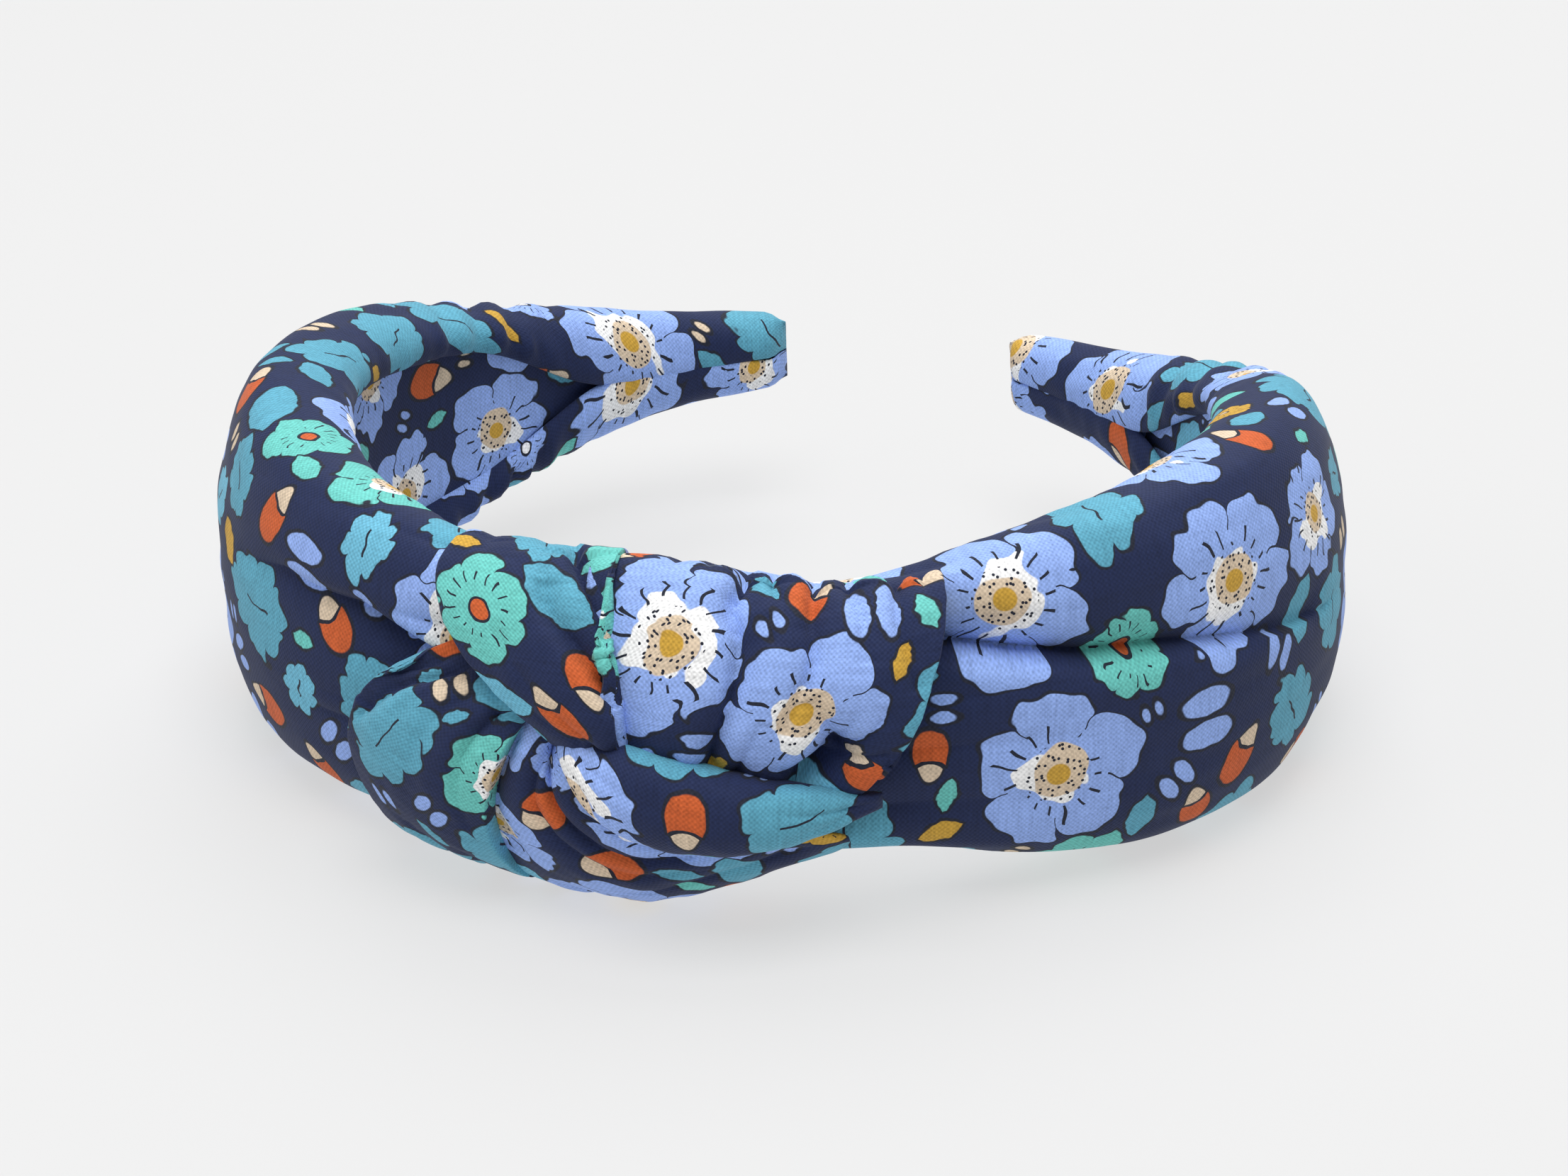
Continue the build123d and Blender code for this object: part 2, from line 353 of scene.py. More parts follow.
def arm_gathers(a, v, tip, side):
    """The small pushes of one arm's cloth, one after another, as grids. a is how far along the arm a
    row is, and v how far across the cloth a point is."""
    outside = ease(-np.abs(v), -34, -22)
    near_knot = np.exp(-np.maximum(a - 26, 0) / 11)
    gathers = np.abs(np.sin(v * 0.36 + 1.1 * side + 0.5 * np.sin(v * 0.21))) ** 0.7 - 0.6
    yield 1.5 * near_knot * gathers * outside
    soft = waves(np.stack([(side * a + 0 * v) / 2.4, v], -1), 5 + side, 17)
    yield 0.42 * soft * (1 - 0.7 * tip)
    # The inner rolls are gathered where the edges are drawn in towards the hoop
    widest = np.abs(v).max(1, keepdims=True)
    drawn = ease(np.abs(v), 0.62 * widest, widest)
    ripple = np.sin(a * 1.15 + 1.5 * np.sin(a * 0.31) + 0.1 * v)
    pinch = np.exp(-(((a - 138) / 13) ** 2))
    yield (0.14 + 0.75 * pinch) * drawn * ripple * (1 - tip)
    dents = np.abs(np.sin(a * 0.53 + 0.16 * v + side)) ** 3
    yield -1.1 * pinch * dents * ease(np.abs(v), 8, 16)


def cover_grid(band, side, half, rows=168, count=176):
    """The cloth cover of one arm: its points, and the same points on the flat cloth."""
    end = ARM_LENGTH[side]
    a = np.linspace(0, 1, rows)
    a = end * (a + 0.02 * np.sin(math.pi * a))
    a = np.clip(a, 0, end)
    stretch = ARM_PLACES[-1] / end
    sections = [arm_section(side, x * stretch, half, count=count) for x in a]
    o = np.array([x[0][:, 0] for x in sections])
    z = np.array([x[0][:, 1] for x in sections])
    v = np.array([x[1] for x in sections])
    tip = ease(a, end - 4.0, end)[:, None] ** 2
    middle_o = (o.max(1) + o.min(1))[:, None] / 2
    middle_z = (z.max(1) + z.min(1))[:, None] / 2
    o = middle_o + (o - middle_o) * (1 - 0.97 * tip)
    z = middle_z + (z - middle_z) * (1 - 0.16 * tip)
    p = band.point(side * a[:, None] + 0 * o, o, z)
    # The outside is longer than the hoop where the band bends
    curve = np.gradient(band.heading(a), a)
    along = np.concatenate([[0], np.cumsum(np.diff(a) * (1 + (11 * curve[1:])))])
    flat = np.stack([side * along[:, None] + 0 * v, v], -1)
    n = normals_of(p) * side
    push = np.zeros(v.shape)
    for places, *fold in ARM_FOLDS[side]:
        line = []
        for place, up in places:
            i = int(np.abs(a - place).argmin())
            j = int(np.abs(v[i] - up).argmin())
            line.append(p[i, j])
        push += crease(p, np.array(line), *fold, side=n[0, count // 2] * -side)
    for extra in arm_gathers(a[:, None], v, tip, side):
        push += extra
    edge = np.minimum(ease(np.arange(count), 0, 8), ease(np.arange(count)[::-1], 0, 8))
    return p + n * (push * edge[None, :])[..., None], flat


# ---- meshes ------------------------------------------------------------------------------------


def linked(name, data):
    """A new object in the scene, with that data."""
    made = bpy.data.objects.new(name, data)
    bpy.context.scene.collection.objects.link(made)
    return made


def thicken(p, flat, thick, name):
    """A sheet of cloth of that thickness from a grid of points, with its flat coordinates. The grid is
    the face that shows."""
    rows, count = p.shape[:2]
    n = normals_of(p)
    both = np.concatenate([p.reshape(-1, 3), (p - n * thick).reshape(-1, 3)])
    index = np.arange(rows * count).reshape(rows, count)
    a, b, c, d = index[:-1, :-1], index[:-1, 1:], index[1:, 1:], index[1:, :-1]
    outer = np.stack([a, b, c, d], -1).reshape(-1, 4)
    inner = outer[:, ::-1] + rows * count
    loop = np.concatenate([index[0, :-1], index[:-1, -1], index[-1, :0:-1], index[:0:-1, 0]])
    ahead = np.roll(loop, -1)
    rim = np.stack([ahead, loop, loop + rows * count, ahead + rows * count], -1)
    faces = np.concatenate([outer, inner, rim])
    mesh = bpy.data.meshes.new(name)
    mesh.from_pydata((both * MM).tolist(), [], faces.tolist())
    uv = np.tile(flat.reshape(-1, 2), (2, 1))[faces.reshape(-1)]
    layer = mesh.uv_layers.new(name="cloth")
    layer.data.foreach_set("uv", uv.astype(np.float32).ravel())
    mesh.shade_smooth()
    return linked(name, mesh)


# ---- the knot ----------------------------------------------------------------------------------

# The knot's plain section, which its folds of cloth are laid on: its edges along the band
KNOT_PLACES = [-45, -30, -15, 0, 10, 20, 30, 45]
KNOT_TOP = [22.4, 21.9, 22.3, 23.0, 22.8, 21.2, 20.2, 21.0]
KNOT_BOTTOM = [22.4, 23.6, 24.4, 24.0, 21.0, 18.6, 18.0, 19.5]
KNOT_CENTRE_OUT = 4.5
KNOT_REACH = 9.5
KNOT_TUCK = -5.0  # the lowest that a turned edge goes under the section

# Each fold of the knot is drawn with rows of points across it: their angle, then (s, height off the
# section) for each, with a third number where a point has an angle of its own
COLLAR = [
    (152, [(-7, -2.2), (1, -2.2), (9, -2.2), (17, -2.2), (25, -2.2), (31, -2.2), (37, -2.2)]),
    (125, [(-7, 0.2), (1, 0.4), (9, 0.4), (17, 0.4), (25, 0.4), (31, 0.4), (36.5, 0)]),
    (98, [(-7, 1.4), (2, 1.8), (10, 1.8), (17, 1.8), (24, 1.8), (30.5, 1.8), (36, 1.2)]),
    (74, [(-6.5, 1.6), (2, 2.6), (10, 2.6), (17, 2.4), (24, 2.6), (30.5, 2.4), (36, 2.0)]),
    (52, [(-6, 1.2), (3, 3.2), (10.5, 3.4), (17, 3.4), (23.5, 3.6), (30, 3.4), (35.4, 2.4)]),
    (32, [(-4, 1.2), (4, 4.0), (10.5, 4.6), (16.5, 4.4), (22.5, 4.4), (28.5, 4.0), (33.4, 2.6)]),
    (16, [(-2, 1.0), (4, 4.0), (9.5, 4.6), (15, 4.0), (21, 3.2), (27, 3.6), (31.4, 2.6)]),
    (3, [(-1, 0.6), (4, 3.2), (9, 3.6), (14.5, 2.8), (20, 0.8), (25, 3.0), (29.2, 2.2)]),
    (-8, [(0, 0), (4, 1.0), (8.5, 1.2), (13.5, 0.8), (19, -0.4), (23.5, 1.6), (26.6, 1.4)]),
    (-19, [(2, -1), (5, -1), (9, -1), (13.5, -1), (18, -1), (22, -1), (24.4, -1)]),
]
OVERLAY = [
    (152, [(-27, -2.2), (-21, -2.2), (-15, -2.2), (-9, -2.2), (-4, -2.2)]),
    (125, [(-26.5, 0.6), (-21, 1.2), (-15, 1.4), (-9, 1.2), (-3.5, 0.8)]),
    (98, [(-26, 2.4), (-20.5, 2.9), (-14.5, 3.0), (-8.5, 2.9), (-3.4, 2.6)]),
    (74, [(-26, 3.0), (-20, 3.9), (-14, 4.2), (-8, 4.2), (-2.8, 3.8)]),
    (54, [(-25.5, 3.4), (-18, 4.8), (-12.5, 5.4), (-7, 5.2), (-1.9, 4.6)]),
    (38, [(-22.5, 3.6), (-16, 5.2), (-11, 6.0), (-5.5, 5.8), (-1.0, 5.0)]),
    (25, [(-18, 3.8), (-13, 5.4), (-8.5, 6.6), (-4, 6.4), (-0.2, 5.4)]),
    (14, [(-13, 3.6), (-9.5, 5.2), (-6, 7.0), (-3, 7.0), (0.0, 5.6)]),
    (5, [(-9, 2.0), (-7, 3.8), (-4.5, 5.6), (-2, 5.6), (0.0, 4.0)]),
    (-5, [(-7, -1), (-5.5, -1), (-4, -1), (-2, -1), (-0.5, -1)]),
]
ROLL = [
    (3, [(-9, -1.5, 6), (-9.2, -1.2, 5), (-9.5, -1, 4), (-9.5, -0.8, 3),
         (-9.2, -1, 2), (-9, -1.2, 1), (-8.8, -1.5, 2)]),
    (0, [(-6, -1, 5), (-6.4, 1.2, 8), (-6.5, 4.4, 7), (-6.8, 5.8, 1),
         (-6.8, 4.4, -7), (-6.4, 0.6, -9), (-6, -1, -6)]),
    (0, [(-2, -1, 4), (-2, 1.2, 8), (-2, 6.0, 8), (-2.4, 8.2, -4),
         (-3, 6.6, -18), (-2.6, 1.2, -20), (-2, -1, -15)]),
    (0, [(3, -1, 2), (3, 1.2, 6), (3, 6.4, 6), (3, 8.8, -9),
         (2.4, 7.0, -26), (2.6, 1.2, -28), (3, -1, -22)]),
    (0, [(9, -1, -2), (9, 1.2, 2), (9, 6.4, 2), (8.6, 8.6, -12),
         (8, 6.8, -29), (8.4, 1.2, -31), (9, -1, -25)]),
    (0, [(14, -1, -6), (14, 1.2, -3), (14, 5.8, -3), (13.6, 7.6, -16),
         (13, 6, -31), (13.4, 1.0, -33), (14, -1, -27)]),
    (0, [(19, -1, -10), (19, 1.0, -7), (19, 4.6, -8), (18.8, 6, -19),
         (18.4, 4.4, -31), (18.6, 0.6, -32), (19, -1, -27)]),
    (0, [(23, -1, -15), (23, 0.6, -12), (23, 2.8, -13), (22.8, 3.6, -20),
         (22.6, 2.4, -28), (22.8, 0.2, -29), (23, -1, -25)]),
    (0, [(27, -2, -19), (27, -1, -17), (27, -0.4, -17), (27, -0.2, -21),
         (27, -0.6, -25), (27, -1, -26), (27, -2, -24)]),
]
UNDERFOLD = [
    (14, [(-12, -1), (-10.5, -0.5), (-9, -0.5), (-8, -0.5), (-7, -1)]),
    (5, [(-15, -0.5), (-12.6, 1.8), (-10.4, 2.8), (-8.4, 2.6), (-7, 0.4)]),
    (-8, [(-18, -0.5), (-14.5, 2.8), (-11.3, 4.2), (-8.4, 3.8), (-5.5, 0.6)]),
    (-21, [(-19.5, -0.5), (-15.2, 3.0), (-10.5, 4.4), (-5.5, 4.0), (-0.5, 1.0)]),
    (-37, [(-19, -0.3), (-13, 3.0), (-5, 4.2, -39), (5, 4.0, -38), (19, 0.6, -31)]),
    (-54, [(-18, -0.2), (-11, 2.4), (-1.5, 3.0, -57), (10, 2.4, -54), (25, -0.6, -43)]),
    (-77, [(-17, 0), (-10, 1.4), (0, 1.6), (10, 0.8), (21, -1.6, -66)]),
    (-102, [(-16.5, 0.2), (-9, 0.8), (1, 0.8), (9, 0.2), (17, -2.0)]),
    (-128, [(-16, 0), (-9, 0.3), (0, 0.4), (8, -0.2), (14, -2.2)]),
    (-152, [(-16, -2.2), (-9, -2.2), (0, -2.2), (7, -2.2), (13, -2.2)]),
]
FAN = [
    (28, [(-22, -4.0, 35), (-19.5, -4.0, 32), (-16, -4.0, 28), (-13, -3.5, 23), (-10, -3.0, 17)]),
    (18, [(-27, 1.4, 26), (-22, 3.0, 23), (-17.5, 3.6, 19), (-14.2, 3.4, 14.5), (-12, 2.4, 10)]),
    (6, [(-32.5, 1.8, 14), (-26, 4.0, 10), (-21, 4.8, 6), (-17.3, 4.8, 2), (-14, 3.6, -2)]),
    (-8, [(-36.2, 2.0, 0), (-29.6, 4.2, -5), (-24.4, 5.2, -9), (-20.2, 5.4, -12), (-16, 4.0, -15)]),
    (-24, [(-37.6, 2.0, -16), (-31.6, 3.8, -20), (-26.4, 4.6, -24), (-21.8, 4.8, -27), (-17, 3.8, -28)]),
    (-38, [(-37, 1.6, -31), (-31.6, 3.2, -36), (-26.4, 3.8, -40), (-21.8, 4.0, -42), (-17, 3.0, -42)]),
    (-58, [(-35.5, 1.0), (-30.5, 1.8), (-26, 2.2), (-21.3, 2.2), (-16.5, 1.6)]),
    (-80, [(-34.5, 0.4), (-30, 1.0), (-25.5, 1.2), (-21, 1.2), (-16, 0.8)]),
    (-102, [(-34, 0), (-29, 0.6), (-25, 0.8), (-20.5, 0.8), (-15.5, 0.4)]),
    (-128, [(-33, 0), (-29, 0.2), (-24.5, 0.3), (-20, 0.3), (-15, 0)]),
    (-152, [(-33, -2.2), (-28, -2.2), (-24, -2.2), (-20, -2.2), (-15, -2.2)]),
]
# How far the left and right edges of each part are turned under
KNOT_EDGES = {
    "collar": (0, 7.5), "overlay": (7.5, 5.4), "roll": (0, 0), "underfold": (0, 0), "fan": (6.5, 4.2),
}

# Folds pressed into each part of the knot: the line (s, angle), depth, width to each side, and how
# deep its two ends are
KNOT_FOLDS = {
    "collar": [
        ([(12.5, 100), (12, 76), (11, 58), (12, 42), (11, 24), (9, 6), (8, -8)], 4.2, 1.3, 2.4, (1, 0.8)),
        ([(16, 104), (15.6, 84), (16.5, 62), (16, 42)], 2.4, 0.9, 1.6, (1, 0.1)),
        ([(21, 104), (20.4, 80), (20, 56), (20, 40), (18, 24), (16, 10)], 3.8, 1.1, 2.2, (1, 0.3)),
        ([(25, 104), (24.4, 80), (25.5, 56), (25.5, 36)], 2.4, 0.9, 1.8, (1, 0.2)),
        ([(30.6, 104), (30, 76), (29.6, 54), (30.4, 38), (31, 24)], 2.8, 1.0, 2.0, (1, 0.3)),
        ([(33.6, 104), (33.4, 80), (33.6, 60)], 1.4, 0.8, 1.2, (1, 0.1)),
        ([(4.5, 104), (3.5, 88), (4, 70)], 1.6, 0.9, 1.8, (1, 0.1)),
        ([(8.4, 104), (8, 88), (7.6, 72)], 1.0, 0.8, 1.4, (1, 0.1)),
        ([(19, 26), (21.5, 12), (20.5, 0), (18, -12)], 5.0, 2.0, 2.6, (0.2, 1)),
        ([(28, 22), (25.5, 11), (21.5, 1)], 2.8, 1.1, 1.8, (0.2, 1)),
        ([(28, 4), (23, -1), (18, -8)], 2.4, 1.0, 1.6, (0.3, 1)),
        ([(25, 24), (23, 12), (21, 2)], 1.6, 0.8, 1.2, (0.1, 1)),
        ([(14.5, 18), (12.5, 4), (11, -8)], 1.6, 0.9, 1.8, (0.2, 1)),
        ([(6, 22), (5, 8), (4.4, -6)], 0.9, 0.9, 1.8, (0.1, 1)),
        ([(2, 46), (1.6, 26), (1, 8)], 1.0, 0.9, 1.8, (0.2, 1)),
    ],
    "overlay": [
        ([(-11.5, 66), (-10, 51), (-4, 33), (0, 17), (0, 8)], 4.4, 0.8, 3.0, (0.4, 1)),
        ([(-9.5, 96), (-8, 74), (-3.4, 50), (-0.6, 34)], 3.4, 0.8, 2.2, (1, 0.9)),
        ([(-16, 44), (-11, 26), (-5, 10), (-3, 4)], 1.2, 1.4, 2.4, (0.2, 1)),
        ([(-22, 98), (-21, 78), (-17, 58)], 1.3, 1.2, 2.4, (1, 0.1)),
        ([(-14, 100), (-13.4, 82), (-12, 66)], 1.1, 0.9, 2.0, (1, 0.1)),
        ([(-13, 22), (-9, 13), (-5, 6)], 1.0, 1.0, 1.8, (0.2, 1)),
    ],
    "roll": [
        ([(-5, 4), (0, -3), (6, -8), (12, -12)], 0.9, 1.2, 2.5, (1, 0)),
        ([(-6, -2), (-2, -10), (4, -17)], 0.8, 1.2, 2.0, (1, 0)),
        ([(14, -10), (20, -15), (26, -20)], 1.4, 1.0, 1.8, (0.1, 1)),
        ([(16, -22), (21, -22), (26, -21)], 1.0, 1.0, 1.6, (0.1, 1)),
    ],
    "underfold": [
        ([(-8, 7), (-9.2, -4), (-9, -16), (-6, -27), (-1, -34), (8, -36)], 3.2, 0.8, 1.8, (1, 0.3)),
        ([(-8.5, 6), (-11, -6), (-11.2, -18), (-8.5, -30), (-3, -40), (8, -44)], 2.2, 0.8, 1.8, (1, 0.2)),
        ([(-14, 2), (-16.5, -14), (-16.5, -30), (-14, -44)], 1.2, 1.2, 2.0, (1, 0.4)),
        ([(-4, -58), (6, -52), (18, -44)], 1.4, 1.0, 1.8, (0.3, 0.7)),
        ([(-12, -60), (-8, -74), (-6, -96)], 1.2, 1.0, 2.2, (0.3, 1)),
    ],
    "fan": [
        ([(-34, -3), (-29, 11), (-24.5, 19), (-19, 27)], 3.6, 0.8, 2.2, (0.6, 1)),
        ([(-30.5, 15), (-26, 23), (-21, 31)], 2.4, 0.8, 1.4, (0.5, 1)),
        ([(-15, 12), (-18.5, -2), (-20, -16), (-19.5, -32)], 2.6, 0.9, 2.0, (1, 0.2)),
        ([(-18, 18), (-23, 4), (-26, -12), (-27, -26)], 1.3, 1.2, 3.0, (1, 0)),
        ([(-30, -40), (-27.5, -58), (-27, -80)], 1.6, 1.0, 2.2, (0.3, 1)),
        ([(-23.5, -44), (-22.5, -62), (-22, -84)], 1.5, 1.0, 2.2, (0.3, 1)),
        ([(-20, 22), (-26, 8), (-31, -8)], 1.0, 0.9, 2.0, (1, 0)),
    ],
}


def knot_point(band, s, angle, height):
    """A point of the knot, from its place round the plain section and its height off it."""
    t = np.radians(angle)
    tall = np.where(
        np.asarray(angle) >= 0, smooth(KNOT_PLACES, KNOT_TOP, s), smooth(KNOT_PLACES, KNOT_BOTTOM, s)
    )
    o = KNOT_CENTRE_OUT + (KNOT_REACH + height) * np.cos(t)
    return band.point(s, o, band.mid + (tall + 0.6 * height) * np.sin(t))


def spline_weights(controls, count):
    """How much each control point counts at each of count places along a clamped cubic spline."""
    degree = min(3, controls - 1)
    inner = np.linspace(0, 1, controls - degree + 1)
    knots = np.concatenate([[0] * degree, inner, [1] * degree])
    at = np.linspace(0, 1, count)
    n = np.array([(at >= a) & ((at < b) | ((b == 1) & (a < b))) for a, b in zip(knots, knots[1:])], float)
    for d in range(1, degree + 1):
        new = []
        for i in range(len(n) - 1):
            left, right = knots[i + d] - knots[i], knots[i + d + 1] - knots[i + 1]
            a = (at - knots[i]) / left * n[i] if left else 0 * at
            b = (knots[i + d + 1] - at) / right * n[i + 1] if right else 0 * at
            new.append(a + b)
        n = np.array(new)
    return n.T


def rolled(rows, left, right):
    """Rows of points (s, angle, height) with their first and last turned under by those amounts."""
    c = np.array(rows, float)
    for end, drop, inward in ((0, left, 0.5), (-1, right, -0.5)):
        if drop:
            under = c[:, end].copy()
            under[:, 2] = np.minimum(under[:, 2], np.maximum(under[:, 2] - drop, KNOT_TUCK))
            under[:, 0] += inward
            parts = [under[:, None], c[:, end][:, None]]
            c = np.concatenate([*parts, c] if end == 0 else [c, *parts[::-1]], 1)
    return c


def knot_grid(band, name, rows, along, across, seed):
    """One fold of the knot: its points, facing out, and the same points on the flat cloth."""
    drawn = [[(q[0], q[2] if len(q) > 2 else angle, q[1]) for q in row] for angle, row in rows]
    c = rolled(drawn, *KNOT_EDGES[name])
    weights = spline_weights(len(c), along), spline_weights(c.shape[1], across)
    places = np.einsum("ui,vj,ijk->uvk", *weights, c)
    p = knot_point(band, places[..., 0], places[..., 1], places[..., 2])
    hub = band.point(0.0, 3.0, band.mid)
    if ((p - hub) * normals_of(p)).sum() < 0:
        p, places = p[:, ::-1], places[:, ::-1]
    n = normals_of(p)
    push = 0.30 * waves(p, seed, 13) + 0.10 * waves(p, seed + 7, 4.5, 2)
    for line, *fold in KNOT_FOLDS[name]:
        at = np.array(line, float)
        t = np.linspace(0, 1, len(at))
        fine = np.linspace(0, 1, 4 * len(at))
        at = np.stack([smooth(t, at[:, k], fine) for k in (0, 1)], -1)
        height = np.array([near_height(places, q) for q in at])
        pressed = knot_point(band, at[:, 0], at[:, 1], height)
        push += crease(p, pressed, *fold, side=band.axes(np.array(at[len(at) // 2, 0]))[0])
    # The folds and waves die out towards the edges, which lie flat
    rim = np.minimum(np.arange(across), np.arange(across)[::-1]) / across
    tail = np.minimum(np.arange(along), np.arange(along)[::-1]) / along
    push = push * ease(rim, 0.0, 0.08)[None, :] * ease(tail, 0.0, 0.06)[:, None]
    p = p + n * push[..., None]
    step_u = np.linalg.norm(np.diff(p, axis=0), axis=-1).mean(1)
    step_v = np.linalg.norm(np.diff(p, axis=1), axis=-1)
    u = np.concatenate([[0], np.cumsum(step_u)])
    v = np.concatenate([np.zeros((along, 1)), np.cumsum(step_v, axis=1)], axis=1)
    v -= v[:, across // 2, None]
    return p, np.stack([np.repeat(u[:, None], across, 1), v], -1)


def near_height(places, at):
    """The height of the fold where it is nearest to a place."""
    far = (places[..., 0] - at[0]) ** 2 + (0.4 * (places[..., 1] - at[1])) ** 2
    return places[..., 2].reshape(-1)[int(far.argmin())]


# ---- the print ---------------------------------------------------------------------------------


# What the cloth is printed with, in three rounds: the smallest and largest radius in millimetres, the
# colours, and how often it is drawn
PRINTED = [
    [
        (FLOWER, 8.5, 12.5, "blue", "beige", 0.40),
        (FLOWER, 7.5, 10.0, "mint", "beige", 0.05),
        (CLUSTER, 6.5, 9.2, "teal", "teal", 0.20),
        (DAISY, 6.0, 8.0, "mint", "rust", 0.03),
        (BUD, 4.4, 5.4, "rust", "beige", 0.06),
    ],
    [
        (CLUSTER, 4.4, 6.8, "sky", "sky", 0.20),
        (CLUSTER, 4.2, 6.0, "teal", "teal", 0.12),
        (DAISY, 4.4, 6.2, "mustard", "beige", 0.10),
        (DAISY, 4.4, 7.0, "blue", "white", 0.20),
        (LEAF, 4.6, 7.8, "teal", "teal", 0.18),
        (LEAF, 4.6, 7.0, "sky", "sky", 0.10),
        (LEAF, 4.6, 6.4, "mint", "mint", 0.05),
        (PETALS, 4.0, 5.6, "blue", "blue", 0.16),
    ],
    [
        (LEAF, 2.4, 4.2, "mustard", "mustard", 0.12),
        (LEAF, 2.4, 4.4, "mint", "mint", 0.10),
        (LEAF, 2.4, 4.4, "teal", "teal", 0.28),
        (PETALS, 2.2, 3.4, "beige", "beige", 0.16),
        (PETALS, 2.2, 3.8, "blue", "blue", 0.30),
    ],
]

Motif = namedtuple("Motif", "kind x y radius turn tint eye")
FAR_AWAY = 50.0  # where a face with no motif lies in it, outside every shape


class Print:
    """Motifs laid out on the flat cloth of one piece, and worked out for each of its faces."""

    def __init__(self, piece, colours, seed):
        self.mesh = piece.data
        self.colours = colours
        self.draw = np.random.default_rng(seed)
        self.motifs = []
        count = len(self.mesh.loops)
        uv = np.zeros(count * 2, np.float32)
        self.mesh.uv_layers["cloth"].data.foreach_get("uv", uv)
        self.uv = uv.reshape(-1, 2).astype(float)
        self.quads = np.arange(count).reshape(-1, 4)

    def fill(self, tries=1400, gap=0.85):
        """Fills the cloth with motifs, the large ones first, each as large as its place allows."""
        low, high = self.uv.min(0), self.uv.max(0)
        for kinds in PRINTED:
            chances = np.array([k[5] for k in kinds])
            chances = chances / chances.sum()
            for _ in range(tries):
                kind, least, most, tint, eye, _ = kinds[self.draw.choice(len(kinds), p=chances)]
                at = self.draw.uniform(low, high)
                free = min((self.distance(m, at) for m in self.motifs), default=most * 2)
                radius = min((free - gap) / self.room(kind), most)
                if radius >= least:
                    self.motifs.append(Motif(kind, *at, radius, self.draw.uniform(0, math.tau), tint, eye))

    def distance(self, motif, at):
        """How far a place on the cloth is outside a motif."""
        return math.hypot(at[0] - motif.x, at[1] - motif.y) - self.room(motif.kind) * motif.radius

    @staticmethod
    def room(kind):
        """How much of its circle a kind of motif really needs."""
        return {LEAF: 0.66, PETALS: 0.84, BUD: 0.80, CLUSTER: 0.90}.get(kind, 0.92)

    def store(self):
        """Writes the motifs to the mesh: for each layer, where each corner lies in its face's motif."""
        layers = [[] for _ in range(LAYERS)]
        for m in self.motifs:
            for layer in layers:
                if all(math.hypot(m.x - k.x, m.y - k.y) > 1.04 * (m.radius + k.radius) + 0.8 for k in layer):
                    layer.append(m)
                    break
            else:
                layers[-1].append(m)
        faces = len(self.quads)
        corner = self.uv[self.quads]
        for number, layer in enumerate(layers, 1):
            local = np.full((faces, 4, 2), FAR_AWAY)
            data, tints, eyes = (np.zeros((faces, 3)) for _ in range(3))
            best = np.full(faces, np.inf)
            for i, (kind, x, y, radius, turn, tint, eye) in enumerate(layer):
                d = corner - np.array([x, y])
                far = np.hypot(d[..., 0], d[..., 1]).min(1) / radius
                inside = (far < 1.12) & (far < best)
                c, s = math.cos(turn), math.sin(turn)
                local[inside] = (d @ np.array([[c, -s], [s, c]]))[inside]
                data[inside] = (kind, radius, 0.37 * i + number)
                tints[inside] = getattr(self.colours, tint)
                eyes[inside] = getattr(self.colours, eye)
                best[inside] = far[inside]
            uv = self.mesh.uv_layers.new(name=f"motif{number}")
            uv.data.foreach_set("uv", local.reshape(-1).astype(np.float32))
            for name, values in ((f"data{number}", data), (f"tint{number}", tints), (f"eye{number}", eyes)):
                attribute = self.mesh.attributes.new(name, "FLOAT_VECTOR", "FACE")
                attribute.data.foreach_set("vector", values.reshape(-1).astype(np.float32))
        self.mesh.uv_layers.active = self.mesh.uv_layers["cloth"]


# ---- materials ---------------------------------------------------------------------------------


